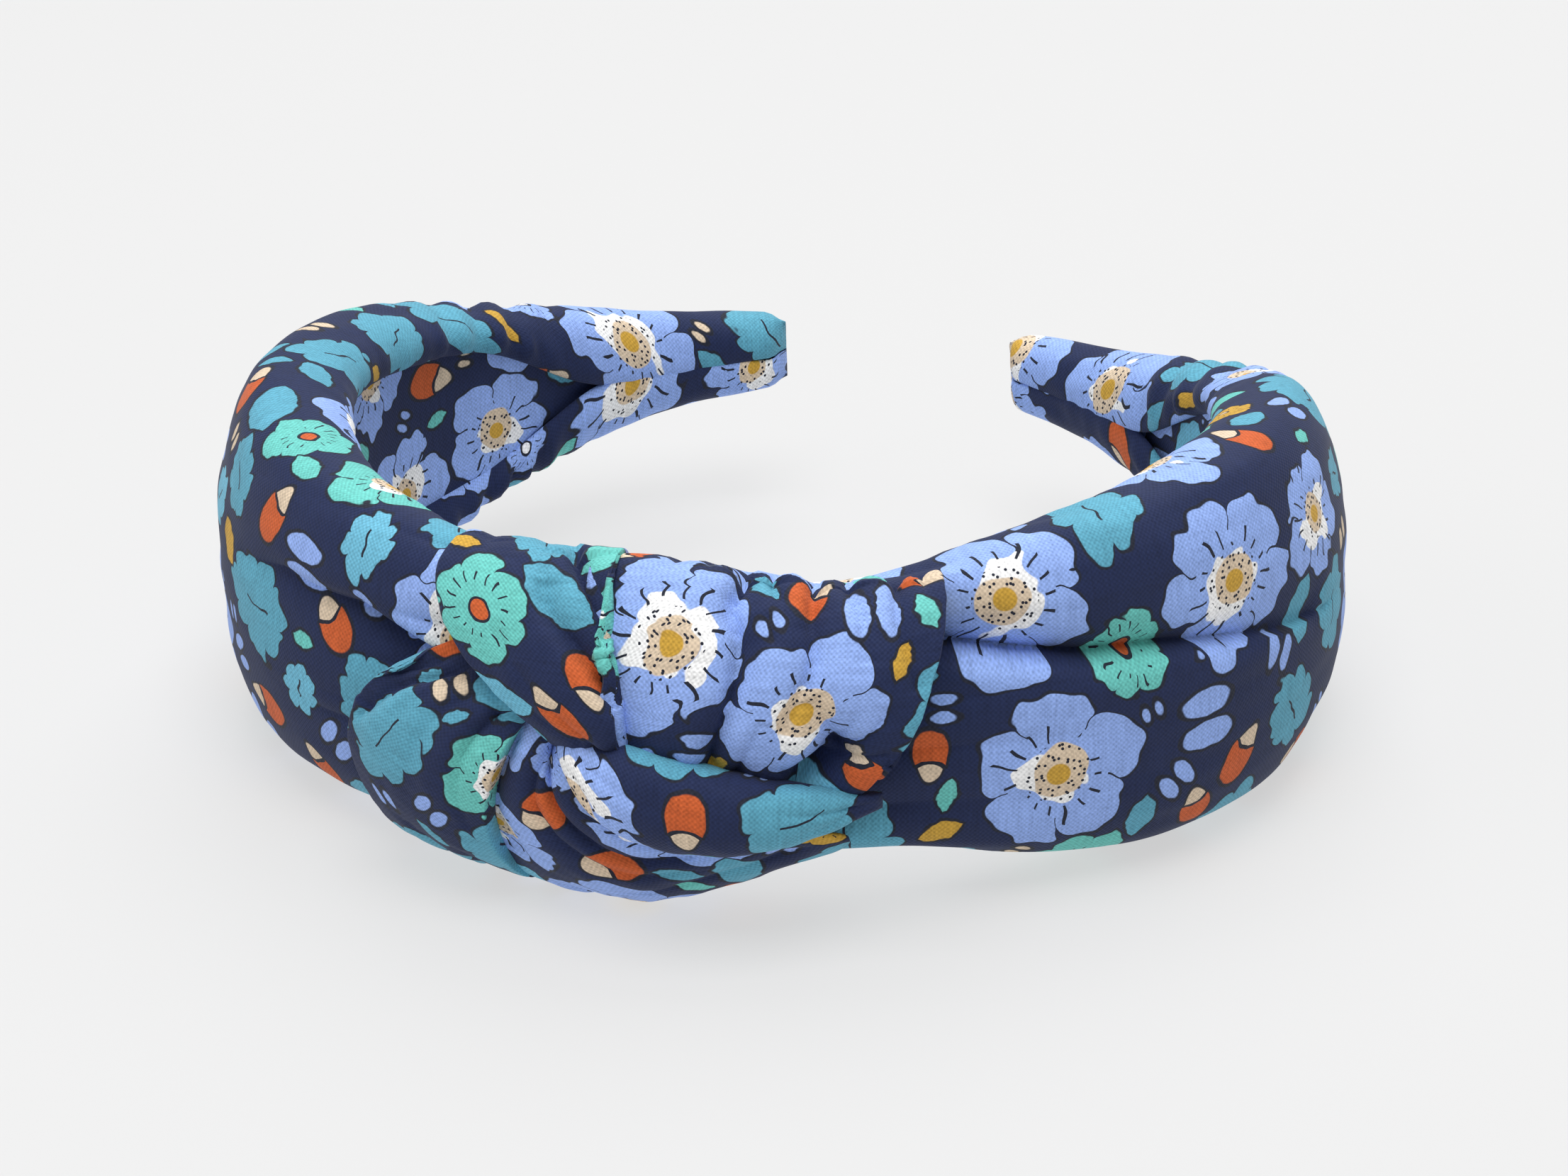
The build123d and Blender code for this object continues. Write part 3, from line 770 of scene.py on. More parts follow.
class Tree:
    """Short ways of adding nodes to a node tree and joining them."""

    def __init__(self, tree):
        self.tree = tree

    def node(self, kind, **settings):
        """A node of that kind, with its settings."""
        made = self.tree.nodes.new(kind)
        for name, value in settings.items():
            setattr(made, name, value)
        return made

    def feed(self, socket, value):
        """Joins an output to a socket, or sets the socket's value."""
        if isinstance(value, bpy.types.NodeSocket):
            self.tree.links.new(value, socket)
        elif value is not None:
            socket.default_value = value

    def math(self, operation, a, b=None, c=None):
        """The result of a sum on numbers."""
        made = self.node("ShaderNodeMath", operation=operation)
        for socket, value in zip(made.inputs, (a, b, c)):
            self.feed(socket, value)
        return made.outputs[0]

    def vector(self, operation, a, b=None, scale=None):
        """The result of a sum on vectors."""
        made = self.node("ShaderNodeVectorMath", operation=operation)
        self.feed(made.inputs[0], a)
        self.feed(made.inputs[1], b)
        if scale is not None:
            self.feed(made.inputs["Scale"], scale)
        return made.outputs["Value" if operation in ("LENGTH", "DOT_PRODUCT") else "Vector"]

    def blend(self, factor, a, b, kind="MIX"):
        """One colour mixed with another."""
        made = self.node("ShaderNodeMix", data_type="RGBA", blend_type=kind)
        for name, value in (("Factor", factor), ("A", a), ("B", b)):
            found = [x for x in made.inputs if x.name == name and x.enabled][0]
            self.feed(found, value)
        return [x for x in made.outputs if x.enabled][0]

    def below(self, value, limit, soft):
        """1 where the value is under the limit, 0 where it is over, and soft in between."""
        made = self.node("ShaderNodeMapRange")
        made.interpolation_type = "SMOOTHSTEP"
        for name, x in (("Value", value), ("To Min", 1.0), ("To Max", 0.0)):
            self.feed(made.inputs[name], x)
        self.feed(made.inputs["From Min"], self.math("SUBTRACT", limit, soft))
        self.feed(made.inputs["From Max"], self.math("ADD", limit, soft))
        return made.outputs["Result"]

    def noise(self, vector, scale, detail=2.0):
        """Uneven values between 0 and 1."""
        made = self.node("ShaderNodeTexNoise")
        for name, value in (("Vector", vector), ("Scale", scale), ("Detail", detail)):
            self.feed(made.inputs[name], value)
        return made.outputs["Fac"]

    def split(self, vector):
        """The three numbers of a vector."""
        made = self.node("ShaderNodeSeparateXYZ")
        self.feed(made.inputs[0], vector)
        return made.outputs

    def raised(self, shader, height, strength, distance):
        """Gives a surface the relief of a height, over that distance in metres."""
        made = self.node("ShaderNodeBump")
        made.inputs["Strength"].default_value = strength
        made.inputs["Distance"].default_value = distance
        self.feed(made.inputs["Height"], height)
        self.feed(shader["Normal"], made.outputs[0])


def new_group(name, inputs, outputs):
    """An empty node group with named sockets, its tree helper, and its input and output nodes."""
    group = bpy.data.node_groups.new(name, "ShaderNodeTree")
    for way, sockets in (("INPUT", inputs), ("OUTPUT", outputs)):
        for label, kind, *value in sockets:
            made = group.interface.new_socket(name=label, in_out=way, socket_type=f"NodeSocket{kind}")
            if value:
                made.default_value = value[0]
    tree = Tree(group)
    return group, tree, tree.node("NodeGroupInput").outputs, tree.node("NodeGroupOutput").inputs


def motif_group():
    """Draws one motif from a place in it, its kind, its size and its colours."""
    group, t, given, put = new_group(
        "printed motif",
        [("Local", "Vector"), ("Data", "Vector"), ("Tint", "Color"), ("Eye", "Color"), ("Ink", "Color"),
         ("White", "Color"), ("Mustard", "Color")],
        [("Color", "Color"), ("Mask", "Float")],
    )
    m = t.math
    kind, radius, seed = t.split(given["Data"])
    safe = m("MAXIMUM", radius, 0.5)
    unit = t.vector("SCALE", given["Local"], scale=m("DIVIDE", 1.0, safe))
    shift = t.node("ShaderNodeCombineXYZ")
    t.feed(shift.inputs[2], m("MULTIPLY", seed, 7.3))
    shifted = t.vector("ADD", unit, shift.outputs[0])
    uneven = m("SUBTRACT", t.noise(shifted, 2.1, 1.0), 0.5)
    x, y, _ = t.split(unit)
    plain = t.vector("LENGTH", unit)
    r = m("MULTIPLY", plain, m("MULTIPLY_ADD", uneven, 0.52, 1.0))
    angle = m("ARCTAN2", y, x)
    turned = m("ADD", angle, m("MULTIPLY", uneven, 1.1))

    def lobes(count, low, high, power):
        """How far a shape with that many rounded lobes reaches at this angle."""
        c = m("ABSOLUTE", m("COSINE", m("MULTIPLY", turned, count / 2)))
        return c, m("MULTIPLY_ADD", m("POWER", c, power), high - low, low)

    def off(reach, limit, share):
        """How far outside a shape, in millimetres, a place is."""
        return m("MULTIPLY", m("SUBTRACT", reach, limit), m("MULTIPLY", safe, share))

    petal, edge = lobes(5, 0.70, 1.0, 0.5)
    frill = m("MULTIPLY", m("SINE", m("MULTIPLY", angle, 19.0)), 0.018)
    flower = off(r, m("ADD", edge, frill), 0.85)
    _, leafy = lobes(7, 0.76, 1.0, 0.6)
    ay = m("ABSOLUTE", y)
    oblong = t.vector("MULTIPLY", unit, (1.0, 1.28, 0.0))
    cluster = off(m("MULTIPLY", t.vector("LENGTH", oblong), m("MULTIPLY_ADD", uneven, 0.55, 1.0)), leafy, 0.8)
    bud_wide = m("MULTIPLY_ADD", x, 0.18, 0.60)
    bud_edge = m("MULTIPLY_ADD", m("POWER", y, 2.0), -0.9, m("MULTIPLY_ADD", uneven, 0.3, -0.16))
    in_base = t.below(x, bud_edge, 0.02)
    narrow = m("MULTIPLY_ADD", in_base, -0.12, 1.0)
    bud_y = m("DIVIDE", y, m("MULTIPLY", bud_wide, narrow))
    bud_r = m("SQRT", m("ADD", m("POWER", x, 2.0), m("POWER", bud_y, 2.0)))
    bud = off(m("ADD", bud_r, m("MULTIPLY", uneven, 0.16)), 0.96, 0.62)
    blade = m("SUBTRACT", ay, m("MULTIPLY_ADD", m("POWER", m("ABSOLUTE", x), 2.6), -0.58, 0.58))
    leaf = m("MULTIPLY", m("ADD", blade, m("MULTIPLY", uneven, 0.34)), m("MULTIPLY", safe, 0.8))
    two = m("SQRT", m("ADD", m("POWER", m("DIVIDE", x, 0.92), 2.0),
                      m("POWER", m("DIVIDE", m("SUBTRACT", ay, 0.43), 0.44), 2.0)))
    petals = off(m("ADD", two, m("MULTIPLY", uneven, 0.3)), 0.98, 0.44)
    _, small = lobes(6, 0.78, 1.0, 0.5)
    daisy = off(r, small, 0.85)

    shapes = {FLOWER: flower, CLUSTER: cluster, BUD: bud, LEAF: leaf, PETALS: petals, DAISY: daisy}
    chosen = {k: m("COMPARE", kind, float(k), 0.4) for k in shapes}
    distance = m("MULTIPLY", m("COMPARE", kind, 0.0, 0.4), 9.0)
    for k, shape in shapes.items():
        distance = m("MULTIPLY_ADD", chosen[k], shape, distance)
    mask = t.below(distance, 0.0, 0.07)
    line = m("SUBTRACT", 1.0, t.below(distance, -0.42, 0.09))

    # Inside the motifs: bases of the buds, veins, petals' gaps, ticks and dotted centres
    inside = t.blend(m("MULTIPLY", chosen[BUD], in_base), given["Tint"], given["Eye"])
    blooms = m("ADD", chosen[FLOWER], chosen[DAISY])
    big = chosen[FLOWER]
    ring_edge = m("MULTIPLY_ADD", uneven, 1.1, 0.36)
    inside = t.blend(m("MULTIPLY", big, t.below(plain, ring_edge, 0.01)), inside, given["White"])
    eye_edge = m("MULTIPLY_ADD", chosen[DAISY], -0.10, m("MULTIPLY_ADD", uneven, -0.3, 0.29))
    inside = t.blend(m("MULTIPLY", blooms, t.below(plain, eye_edge, 0.01)), inside, given["Eye"])
    eye_rim = m("LESS_THAN", m("ABSOLUTE", m("SUBTRACT", plain, eye_edge)), m("DIVIDE", 0.22, safe))
    line = m("MAXIMUM", line, m("MULTIPLY", chosen[DAISY], eye_rim))
    core = m("MULTIPLY", big, t.below(plain, 0.13, 0.01))
    inside = t.blend(core, inside, given["Mustard"])
    gap = m("MULTIPLY", big, m("LESS_THAN", m("MULTIPLY", petal, plain), m("DIVIDE", 0.30, safe)))
    gap = m("MULTIPLY", gap, m("GREATER_THAN", plain, 0.56))
    beat = m("SINE", m("MULTIPLY_ADD", angle, 16.0, m("MULTIPLY", uneven, 9.0)))
    tick_start = m("MULTIPLY_ADD", uneven, 0.3, 0.42)
    tick = m("MULTIPLY", m("GREATER_THAN", beat, 0.88), m("GREATER_THAN", plain, tick_start))
    tick = m("MULTIPLY", tick, m("LESS_THAN", plain, m("MULTIPLY_ADD", uneven, 1.0, 0.58)))
    tick = m("MULTIPLY", tick, blooms)
    spots = t.node("ShaderNodeTexVoronoi", voronoi_dimensions="2D", feature="F1")
    t.feed(spots.inputs["Vector"], given["Local"])
    t.feed(spots.inputs["Scale"], 0.95)
    dot = m("LESS_THAN", spots.outputs["Distance"], 0.20)
    dot = m("MULTIPLY", dot, m("MULTIPLY", m("LESS_THAN", plain, 0.36), m("GREATER_THAN", plain, 0.15)))
    dot = m("MULTIPLY", dot, big)
    from_base = m("ABSOLUTE", m("SUBTRACT", x, bud_edge))
    rim = m("MULTIPLY", chosen[BUD], m("LESS_THAN", from_base, m("DIVIDE", 0.30, safe)))
    vein = m("LESS_THAN", m("ABSOLUTE", m("ADD", y, m("MULTIPLY", uneven, 0.3))), m("DIVIDE", 0.16, safe))
    vein = m("MULTIPLY", vein, m("MULTIPLY", m("LESS_THAN", x, 0.30), m("GREATER_THAN", x, -0.35)))
    vein = m("MULTIPLY", vein, chosen[CLUSTER])
    for extra in (gap, tick, dot, rim, vein):
        line = m("MAXIMUM", line, extra)
    t.feed(put["Color"], t.blend(line, inside, given["Ink"]))
    t.feed(put["Mask"], mask)
    return group


def weave_group():
    """Plain weave from a place on the flat cloth: its height, and how light the cloth is painted there:
    painted shade, darker in the hollows between the raised threads, over the random slub tone of each thread.
    """
    group, t, given, put = new_group(
        "plain weave",
        [("Cloth", "Vector"), ("Pitch", "Float", 0.36), ("Slub", "Float", 0.5)],
        [("Height", "Float"), ("Shade", "Float")],
    )
    m = t.math
    bend = t.node("ShaderNodeTexNoise")
    t.feed(bend.inputs["Vector"], given["Cloth"])
    t.feed(bend.inputs["Scale"], 0.25)
    wander = t.vector("SCALE", t.vector("SUBTRACT", bend.outputs["Color"], (0.5, 0.5, 0.5)), scale=0.5)
    turns = m("DIVIDE", math.pi, given["Pitch"])
    threads = t.vector("SCALE", t.vector("ADD", given["Cloth"], wander), scale=turns)
    x, y, _ = t.split(threads)
    checks = m("MULTIPLY", m("SINE", x), m("SINE", y))
    warp = t.noise(t.vector("MULTIPLY", threads, (0.30, 0.02, 0.0)), 1.0, 2.0)
    weft = t.noise(t.vector("MULTIPLY", threads, (0.02, 0.30, 7.0)), 1.0, 2.0)
    slub = m("MULTIPLY", m("SUBTRACT", m("ADD", warp, weft), 1.0), given["Slub"])
    t.feed(put["Height"], m("MULTIPLY_ADD", checks, 0.5, m("ADD", slub, 0.5)))
    # The raised threads are painted lighter and the hollows between them darker, a painted shade, added to
    # the slub's random tone
    t.feed(put["Shade"], m("MULTIPLY_ADD", checks, 0.16, m("MULTIPLY_ADD", slub, 1.1, 1.0)))
    return group


def place_group(tree, group, **values):
    """Puts a node group in a tree and feeds its inputs."""
    made = tree.node("ShaderNodeGroup", node_tree=group)
    for name, value in values.items():
        tree.feed(made.inputs[name], value)
    return made.outputs


def new_material(name):
    """An empty material with a Principled shader, and its tree helper."""
    material = bpy.data.materials.new(name)
    material.use_nodes = True
    material.node_tree.nodes.clear()
    tree = Tree(material.node_tree)
    shader = tree.node("ShaderNodeBsdfPrincipled")
    out = tree.node("ShaderNodeOutputMaterial")
    tree.tree.links.new(shader.outputs[0], out.inputs[0])
    return material, tree, shader.inputs


def opaque(values):
    """A colour with full alpha."""
    return (*values, 1.0)


def cotton_material(colours):
    """Cotton poplin in plain weave, printed with the motifs that the mesh holds."""
    material, t, shader = new_material("printed cotton")
    motif, weave = motif_group(), weave_group()
    flat = t.node("ShaderNodeUVMap", uv_map="cloth").outputs[0]
    dye = opaque(colours.navy)
    for number in range(1, LAYERS + 1):
        local = t.node("ShaderNodeUVMap", uv_map=f"motif{number}").outputs[0]
        read = {
            label: t.node("ShaderNodeAttribute", attribute_name=f"{label.lower()}{number}").outputs["Vector"]
            for label in ("Data", "Tint", "Eye")
        }
        drawn = place_group(
            t, motif, Local=local, **read,
            Ink=opaque(colours.ink), White=opaque(colours.white), Mustard=opaque(colours.mustard),
        )
        dye = t.blend(drawn["Mask"], dye, drawn["Color"])
    woven = place_group(t, weave, Cloth=flat, Pitch=0.36, Slub=0.5)
    patchy = t.math("MULTIPLY_ADD", t.noise(flat, 0.12, 3.0), 0.16, 0.92)
    # The weave's painted shade and its slub tone, times the dye's random patchiness
    shade_and_tone = t.math("MULTIPLY", woven["Shade"], patchy)
    combine = t.node("ShaderNodeCombineXYZ")
    for socket in combine.inputs:
        t.feed(socket, shade_and_tone)
    t.feed(shader["Base Color"], t.blend(1.0, dye, combine.outputs[0], "MULTIPLY"))
    t.feed(shader["Roughness"], t.math("MULTIPLY_ADD", woven["Height"], -0.10, 0.86))
    shader["Sheen Weight"].default_value = 0.06
    shader["Sheen Roughness"].default_value = 0.5
    shader["Specular IOR Level"].default_value = 0.3
    t.raised(shader, woven["Height"], 0.35, 0.00012)
    return material


def plastic_material():
    """Milky moulded plastic, with flow marks and fine grain."""
    material, t, shader = new_material("moulded plastic")
    place = t.node("ShaderNodeTexCoord").outputs["Object"]
    flow = t.noise(t.vector("MULTIPLY", place, (60.0, 60.0, 260.0)), 1.0, 3.0)
    grain = t.noise(place, 2600.0, 2.0)
    t.feed(shader["Base Color"], t.blend(flow, (0.74, 0.74, 0.72, 1), (0.84, 0.84, 0.83, 1)))
    t.feed(shader["Roughness"], t.math("MULTIPLY_ADD", grain, 0.18, 0.32))
    t.raised(shader, grain, 0.15, 0.0001)
    shader["Subsurface Weight"].default_value = 0.1
    return material


def glue_material():
    """Set hot-melt glue: cloudy amber with small bubbles."""
    material, t, shader = new_material("set glue")
    place = t.node("ShaderNodeTexCoord").outputs["Object"]
    cloud = t.noise(place, 180.0, 3.0)
    bubble = t.noise(place, 900.0, 1.0)
    t.feed(shader["Base Color"], t.blend(cloud, (0.72, 0.62, 0.42, 1), (0.82, 0.76, 0.62, 1)))
    t.feed(shader["Roughness"], t.math("MULTIPLY_ADD", bubble, 0.3, 0.25))
    t.raised(shader, bubble, 0.3, 0.0002)
    return material


def wadding_material():
    """Bonded white fibre."""
    material, t, shader = new_material("white wadding")
    place = t.node("ShaderNodeTexCoord").outputs["Object"]
    clumps = t.noise(place, 260.0, 4.0)
    fibres = t.noise(t.vector("MULTIPLY", place, (1900.0, 1900.0, 300.0)), 1.0, 3.0)
    t.feed(shader["Base Color"], t.blend(clumps, (0.72, 0.72, 0.70, 1), (0.90, 0.90, 0.88, 1)))
    t.feed(shader["Roughness"], t.math("MULTIPLY_ADD", fibres, 0.1, 0.85))
    t.raised(shader, t.math("ADD", fibres, clumps), 0.7, 0.0006)
    return material


def floor_material(tone):
    """Seamless paper with a very faint grain, lit a little from under it so that shadows stay pale."""
    material, t, shader = new_material("paper floor")
    place = t.node("ShaderNodeTexCoord").outputs["Object"]
    grain = t.noise(place, 900.0, 2.0)
    low, high = tone * 0.995, min(tone * 1.005, 1.0)
    t.feed(shader["Base Color"], t.blend(grain, (low, low, low, 1), (high, high, high, 1)))
    shader["Roughness"].default_value = 0.9
    shader["Specular IOR Level"].default_value = 0.1
    shader["Emission Color"].default_value = (1, 1, 1, 1)
    shader["Emission Strength"].default_value = 0.585
    return material


def material_named(name, make):
    """The material of that name, made the first time."""
    return bpy.data.materials.get(name) or make()


# ---- operators ---------------------------------------------------------------------------------


def finish_cloth(piece, colours, seed):
    """Prints a cloth piece and gives it its material and slot."""
    sheet = Print(piece, colours, seed)
    sheet.fill()
    sheet.store()
    piece.data.materials.append(material_named("printed cotton", lambda: cotton_material(colours)))


class HEADBAND_OT_hoop(bpy.types.Operator):
    """Gives the moulded hoop and the glue on it their finishes"""

    bl_idname = "headband.hoop"
    bl_label = "Hoop and glue"

    def execute(self, context):
        finishes = {"hoop": ("moulded plastic", plastic_material), "glue": ("set glue", glue_material)}
        for name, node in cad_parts.items():
            for part, finish in finishes.items():
                if part in name:
                    node.data.materials.clear()
                    node.data.materials.append(material_named(*finish))
        return {"FINISHED"}


WADDING_POINTS = 64  # round its outline, to which the four corners of the hoop's channel are added
WADDING_INSET = 3.8  # under the cloth
WADDING_PRESSED = 5.5  # at most, where a fold runs over it


def wadding_mesh(band, name, first, last, half, gap):
    """Wadding from first to last along the band, closed round the channel that the hoop lies in."""
    rows = max(int(abs(last - first) / 2.0), 8)
    rings = []
    for s in np.linspace(first, last, rows):
        side = LEFT if s < 0 else RIGHT
        line, _ = arm_section(side, abs(s), half, inset=WADDING_INSET, count=WADDING_POINTS)
        wide = min(half, (line[:, 1].max() - line[:, 1].min()) / 2 - 3)
        centre = (line[:, 1].max() + line[:, 1].min()) / 2
        fold = np.array(ARM_FOLDS[side][0][0])
        deep = WADDING_PRESSED * (1 - ease(abs(s), fold[-2, 0], fold[-1, 0]))
        near = np.exp(-(((line[:, 1] - centre - np.interp(abs(s), fold[:, 0], fold[:, 1])) / 5.0) ** 2))
        outside = line[:, 0] > gap + 0.4
        line[outside, 0] = np.maximum(line[outside, 0] - (deep * near)[outside], gap + 0.4)
        channel = [(-1.0, -wide), (gap, -wide), (gap, wide), (-1.0, wide)]
        ring = np.concatenate([line, [(o, centre + z) for o, z in channel]])
        rings.append(band.point(np.full(len(ring), s), ring[:, 0], ring[:, 1]))
    p = np.array(rings)
    puff = 0.35 * waves(p, 3, 9)
    puff[:, WADDING_POINTS - 2 :] = 0
    middle = p.mean(1, keepdims=True)
    way = (p - middle) / np.linalg.norm(p - middle, axis=-1, keepdims=True)
    p = p - way * np.abs(puff)[..., None]
    count = p.shape[1]
    faces = []
    for i in range(rows - 1):
        for j in range(count):
            k = (j + 1) % count
            faces.append((i * count + j, i * count + k, (i + 1) * count + k, (i + 1) * count + j))
    faces.append(tuple(range(count))[::-1])
    faces.append(tuple(range((rows - 1) * count, rows * count)))
    mesh = bpy.data.meshes.new(name)
    mesh.from_pydata((p.reshape(-1, 3) * MM).tolist(), [], faces)
    mesh.shade_smooth()
    work = bmesh.new()
    work.from_mesh(mesh)
    bmesh.ops.triangulate(work, faces=[f for f in work.faces if len(f.verts) > 4])
    bmesh.ops.recalc_face_normals(work, faces=work.faces)
    work.to_mesh(mesh)
    work.free()
    return linked(name, mesh)


class HEADBAND_OT_wadding(bpy.types.Operator):
    """Fills the arms and the crown with wadding"""

    bl_idname = "headband.wadding"
    bl_label = "Wadding"

    def execute(self, context):
        sizes = context.scene.headband_sizes
        band = Band(sizes)
        channel_half, channel_out = sizes.hoop_half_width / MM + 0.4, 1.1
        # The crown's wadding stops short of the arms', so that each bends with its own piece of hoop
        crown_end, arm_start, arm_end = 46.6, 49.4, 154.0
        runs = {
            "crown": (-crown_end, crown_end),
            "left_arm": (-arm_start, -arm_end),
            "right_arm": (arm_start, arm_end),
        }
        for body, (first, last) in runs.items():
            piece = wadding_mesh(band, f"{body}_filling", first, last, channel_half, channel_out)
            piece.data.materials.append(material_named("white wadding", wadding_material))
            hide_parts(f"{body}_wadding")
            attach(piece, body)
        return {"FINISHED"}


def ribbon_tree():
    """Geometry nodes that lay a flat ribbon along a path, with its width from the path's radius."""
    tree = bpy.data.node_groups.new("ribbon along path", "GeometryNodeTree")
    for way, label, kind in (
        ("INPUT", "Geometry", "Geometry"), ("INPUT", "Along", "Int"), ("INPUT", "Across", "Int"),
        ("INPUT", "Offset", "Float"), ("INPUT", "Lean", "Float"), ("INPUT", "Bow", "Float"),
        ("INPUT", "Material", "Material"), ("OUTPUT", "Geometry", "Geometry"),
    ):
        tree.interface.new_socket(name=label, in_out=way, socket_type=f"NodeSocket{kind}")
    t = Tree(tree)
    given = t.node("NodeGroupInput").outputs
    grid = t.node("GeometryNodeMeshGrid")
    for axis, size, vertices in (("X", 1.0, "Along"), ("Y", 2.0, "Across")):
        t.feed(grid.inputs["Size " + axis], size)
        t.feed(grid.inputs["Vertices " + axis], given[vertices])
    x, across, _ = t.split(t.node("GeometryNodeInputPosition").outputs[0])
    share = t.math("ADD", x, 0.5)
    sample = t.node("GeometryNodeSampleCurve", mode="FACTOR", data_type="FLOAT")
    t.feed(sample.inputs["Curves"], given["Geometry"])
    t.feed(sample.inputs["Factor"], share)
    t.feed(sample.inputs["Value"], t.node("GeometryNodeInputRadius").outputs[0])
    wide = [x for x in sample.outputs if x.name == "Value" and x.enabled][0]
    up = (0.0, 0.0, 1.0)
    out = t.vector("NORMALIZE", t.vector("CROSS_PRODUCT", sample.outputs["Tangent"], up))
    sine, cosine = (t.math(sum_of, given["Lean"]) for sum_of in ("SINE", "COSINE"))
    tilt_out = t.vector("ADD", t.vector("SCALE", out, scale=cosine), t.vector("SCALE", up, scale=sine))
    tilt_up = t.vector("SUBTRACT", t.vector("SCALE", up, scale=cosine), t.vector("SCALE", out, scale=sine))
    rise = t.math("MULTIPLY", across, wide)
    bow = t.math("MULTIPLY", t.math("SUBTRACT", 1.0, t.math("POWER", across, 2.0)), given["Bow"])
    place_at = t.vector("ADD", sample.outputs["Position"], t.vector("SCALE", tilt_up, scale=rise))
    outwards = t.math("ADD", given["Offset"], bow)
    place_at = t.vector("ADD", place_at, t.vector("SCALE", tilt_out, scale=outwards))
    move = t.node("GeometryNodeSetPosition")
    t.feed(move.inputs["Geometry"], grid.outputs["Mesh"])
    t.feed(move.inputs["Position"], place_at)
    realize = t.node("GeometryNodeRealizeInstances")
    t.feed(realize.inputs[0], move.outputs[0])
    dress = t.node("GeometryNodeSetMaterial")
    t.feed(dress.inputs["Geometry"], realize.outputs[0])
    t.feed(dress.inputs["Material"], given["Material"])
    t.feed(t.node("NodeGroupOutput").inputs[0], dress.outputs[0])
    return tree


def ribbon(band, tree, name, places, widths, offset, material, along, across, bow):
    """A grid of points for a ribbon along the band, made by the geometry nodes. Its widths are half
    widths, offset is how far out it lies, and bow how far out its middle curves past its edges."""
    path = bpy.data.curves.new(name + "_path", "CURVE")
    path.dimensions = "3D"
    spline = path.splines.new("POLY")
    spline.points.add(len(places) - 1)
    at = band.point(np.array(places), 0.0, band.mid) * MM
    for point, co, wide in zip(spline.points, at, widths):
        point.co = (*co, 1.0)
        point.radius = wide * MM
    holder = linked(name + "_path", path)
    made = holder.modifiers.new("ribbon", "NODES")
    made.node_group = tree
    names = {x.name: x.identifier for x in tree.interface.items_tree if x.in_out == "INPUT"}
    for label, value in (
        ("Along", along), ("Across", across), ("Offset", offset * MM), ("Lean", band.lean),
        ("Bow", bow * MM), ("Material", material),
    ):
        made[names[label]] = value
    seen = holder.evaluated_get(bpy.context.evaluated_depsgraph_get())
    mesh = bpy.data.meshes.new_from_object(seen)
    co = np.array([v.co for v in mesh.vertices]) / MM
    bpy.data.objects.remove(holder)
    bpy.data.curves.remove(path)
    bpy.data.meshes.remove(mesh)
    return co.reshape(along, across, 3)


class HEADBAND_OT_lining(bpy.types.Operator):
    """Lays the lining strip along the inside of the hoop, in two halves that meet at the crown"""

    bl_idname = "headband.lining"
    bl_label = "Lining"

    def execute(self, context):
        sizes = context.scene.headband_sizes
        band = Band(sizes)
        half = sizes.lining_half_width / MM
        lining_length, under_hoop, thick = 158.0, -2.0, 0.45
        cotton = material_named("printed cotton", lambda: cotton_material(context.scene.headband_colours))
        tree = ribbon_tree()
        along, across = 160, 26
        for name, side in SIDES.items():
            a = np.linspace(0, lining_length, 120)
            wide = np.minimum(half + 1.5, gap_half_width(a, half) + 3.6)
            if side == LEFT:
                a, wide = -a[::-1], wide[::-1]
            p = ribbon(band, tree, f"{name}_lining", a, wide, under_hoop, cotton, along, across, 0.25)
            s = np.linspace(a[0], a[-1], along)
            steps = np.linalg.norm(np.diff(p, axis=1), axis=-1)
            rise = np.concatenate([np.zeros((along, 1)), np.cumsum(steps, 1)], 1)
            rise = (rise - rise[:, -1:] / 2) * np.sign(p[0, -1, 2] - p[0, 0, 2])
            flat = np.stack([s[:, None] + 0 * rise, rise], -1)
            towards = np.array([0, band.front + 60, band.mid]) - p
            if (normals_of(p) * towards).sum() < 0:
                p, flat = p[:, ::-1], flat[:, ::-1]
            uneven = waves(np.stack([flat[..., 0] / 2, flat[..., 1]], -1), 31 + side, 16)
            p = p + normals_of(p) * (0.16 * uneven)[..., None]
            piece = thicken(p, flat, thick, f"{name}_lining")
            finish_cloth(piece, context.scene.headband_colours, 41 + side)
            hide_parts(f"{name}_arm_lining", "crown_lining")
            start, end = (Vector(band.point(side * x, 0.0, band.mid)) * MM for x in (36.0, 60.0))
            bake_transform(piece)
            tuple(start)
            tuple(end)
        return {"FINISHED"}


class HEADBAND_OT_covers(bpy.types.Operator):
    """Wraps each padded arm in its strip of printed cotton, rolled over both edges"""

    bl_idname = "headband.covers"
    bl_label = "Arm covers"

    def execute(self, context):
        sizes = context.scene.headband_sizes
        band = Band(sizes)
        half = sizes.hoop_half_width / MM
        for name, side in SIDES.items():
            p, flat = cover_grid(band, side, half)
            # The middle of the outside faces away from the inside of the arm
            i, j = p.shape[0] // 3, p.shape[1] // 2
            middle = band.point(side * 70.0, 0.0, band.mid)
            if ((p[i, j] - middle) * normals_of(p)[i, j]).sum() < 0:
                p, flat = p[:, ::-1], flat[:, ::-1]
            piece = thicken(p, flat, sizes.cloth / MM, f"{name}_cover")
            finish_cloth(piece, context.scene.headband_colours, 11 + side)
            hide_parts(f"{name}_arm_cover", f"{name}_crown_cover")
            start, end = (Vector(band.point(side * x, 0.0, band.mid)) * MM for x in (38.0, 62.0))
            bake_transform(piece)
            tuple(start)
            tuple(end)
        return {"FINISHED"}


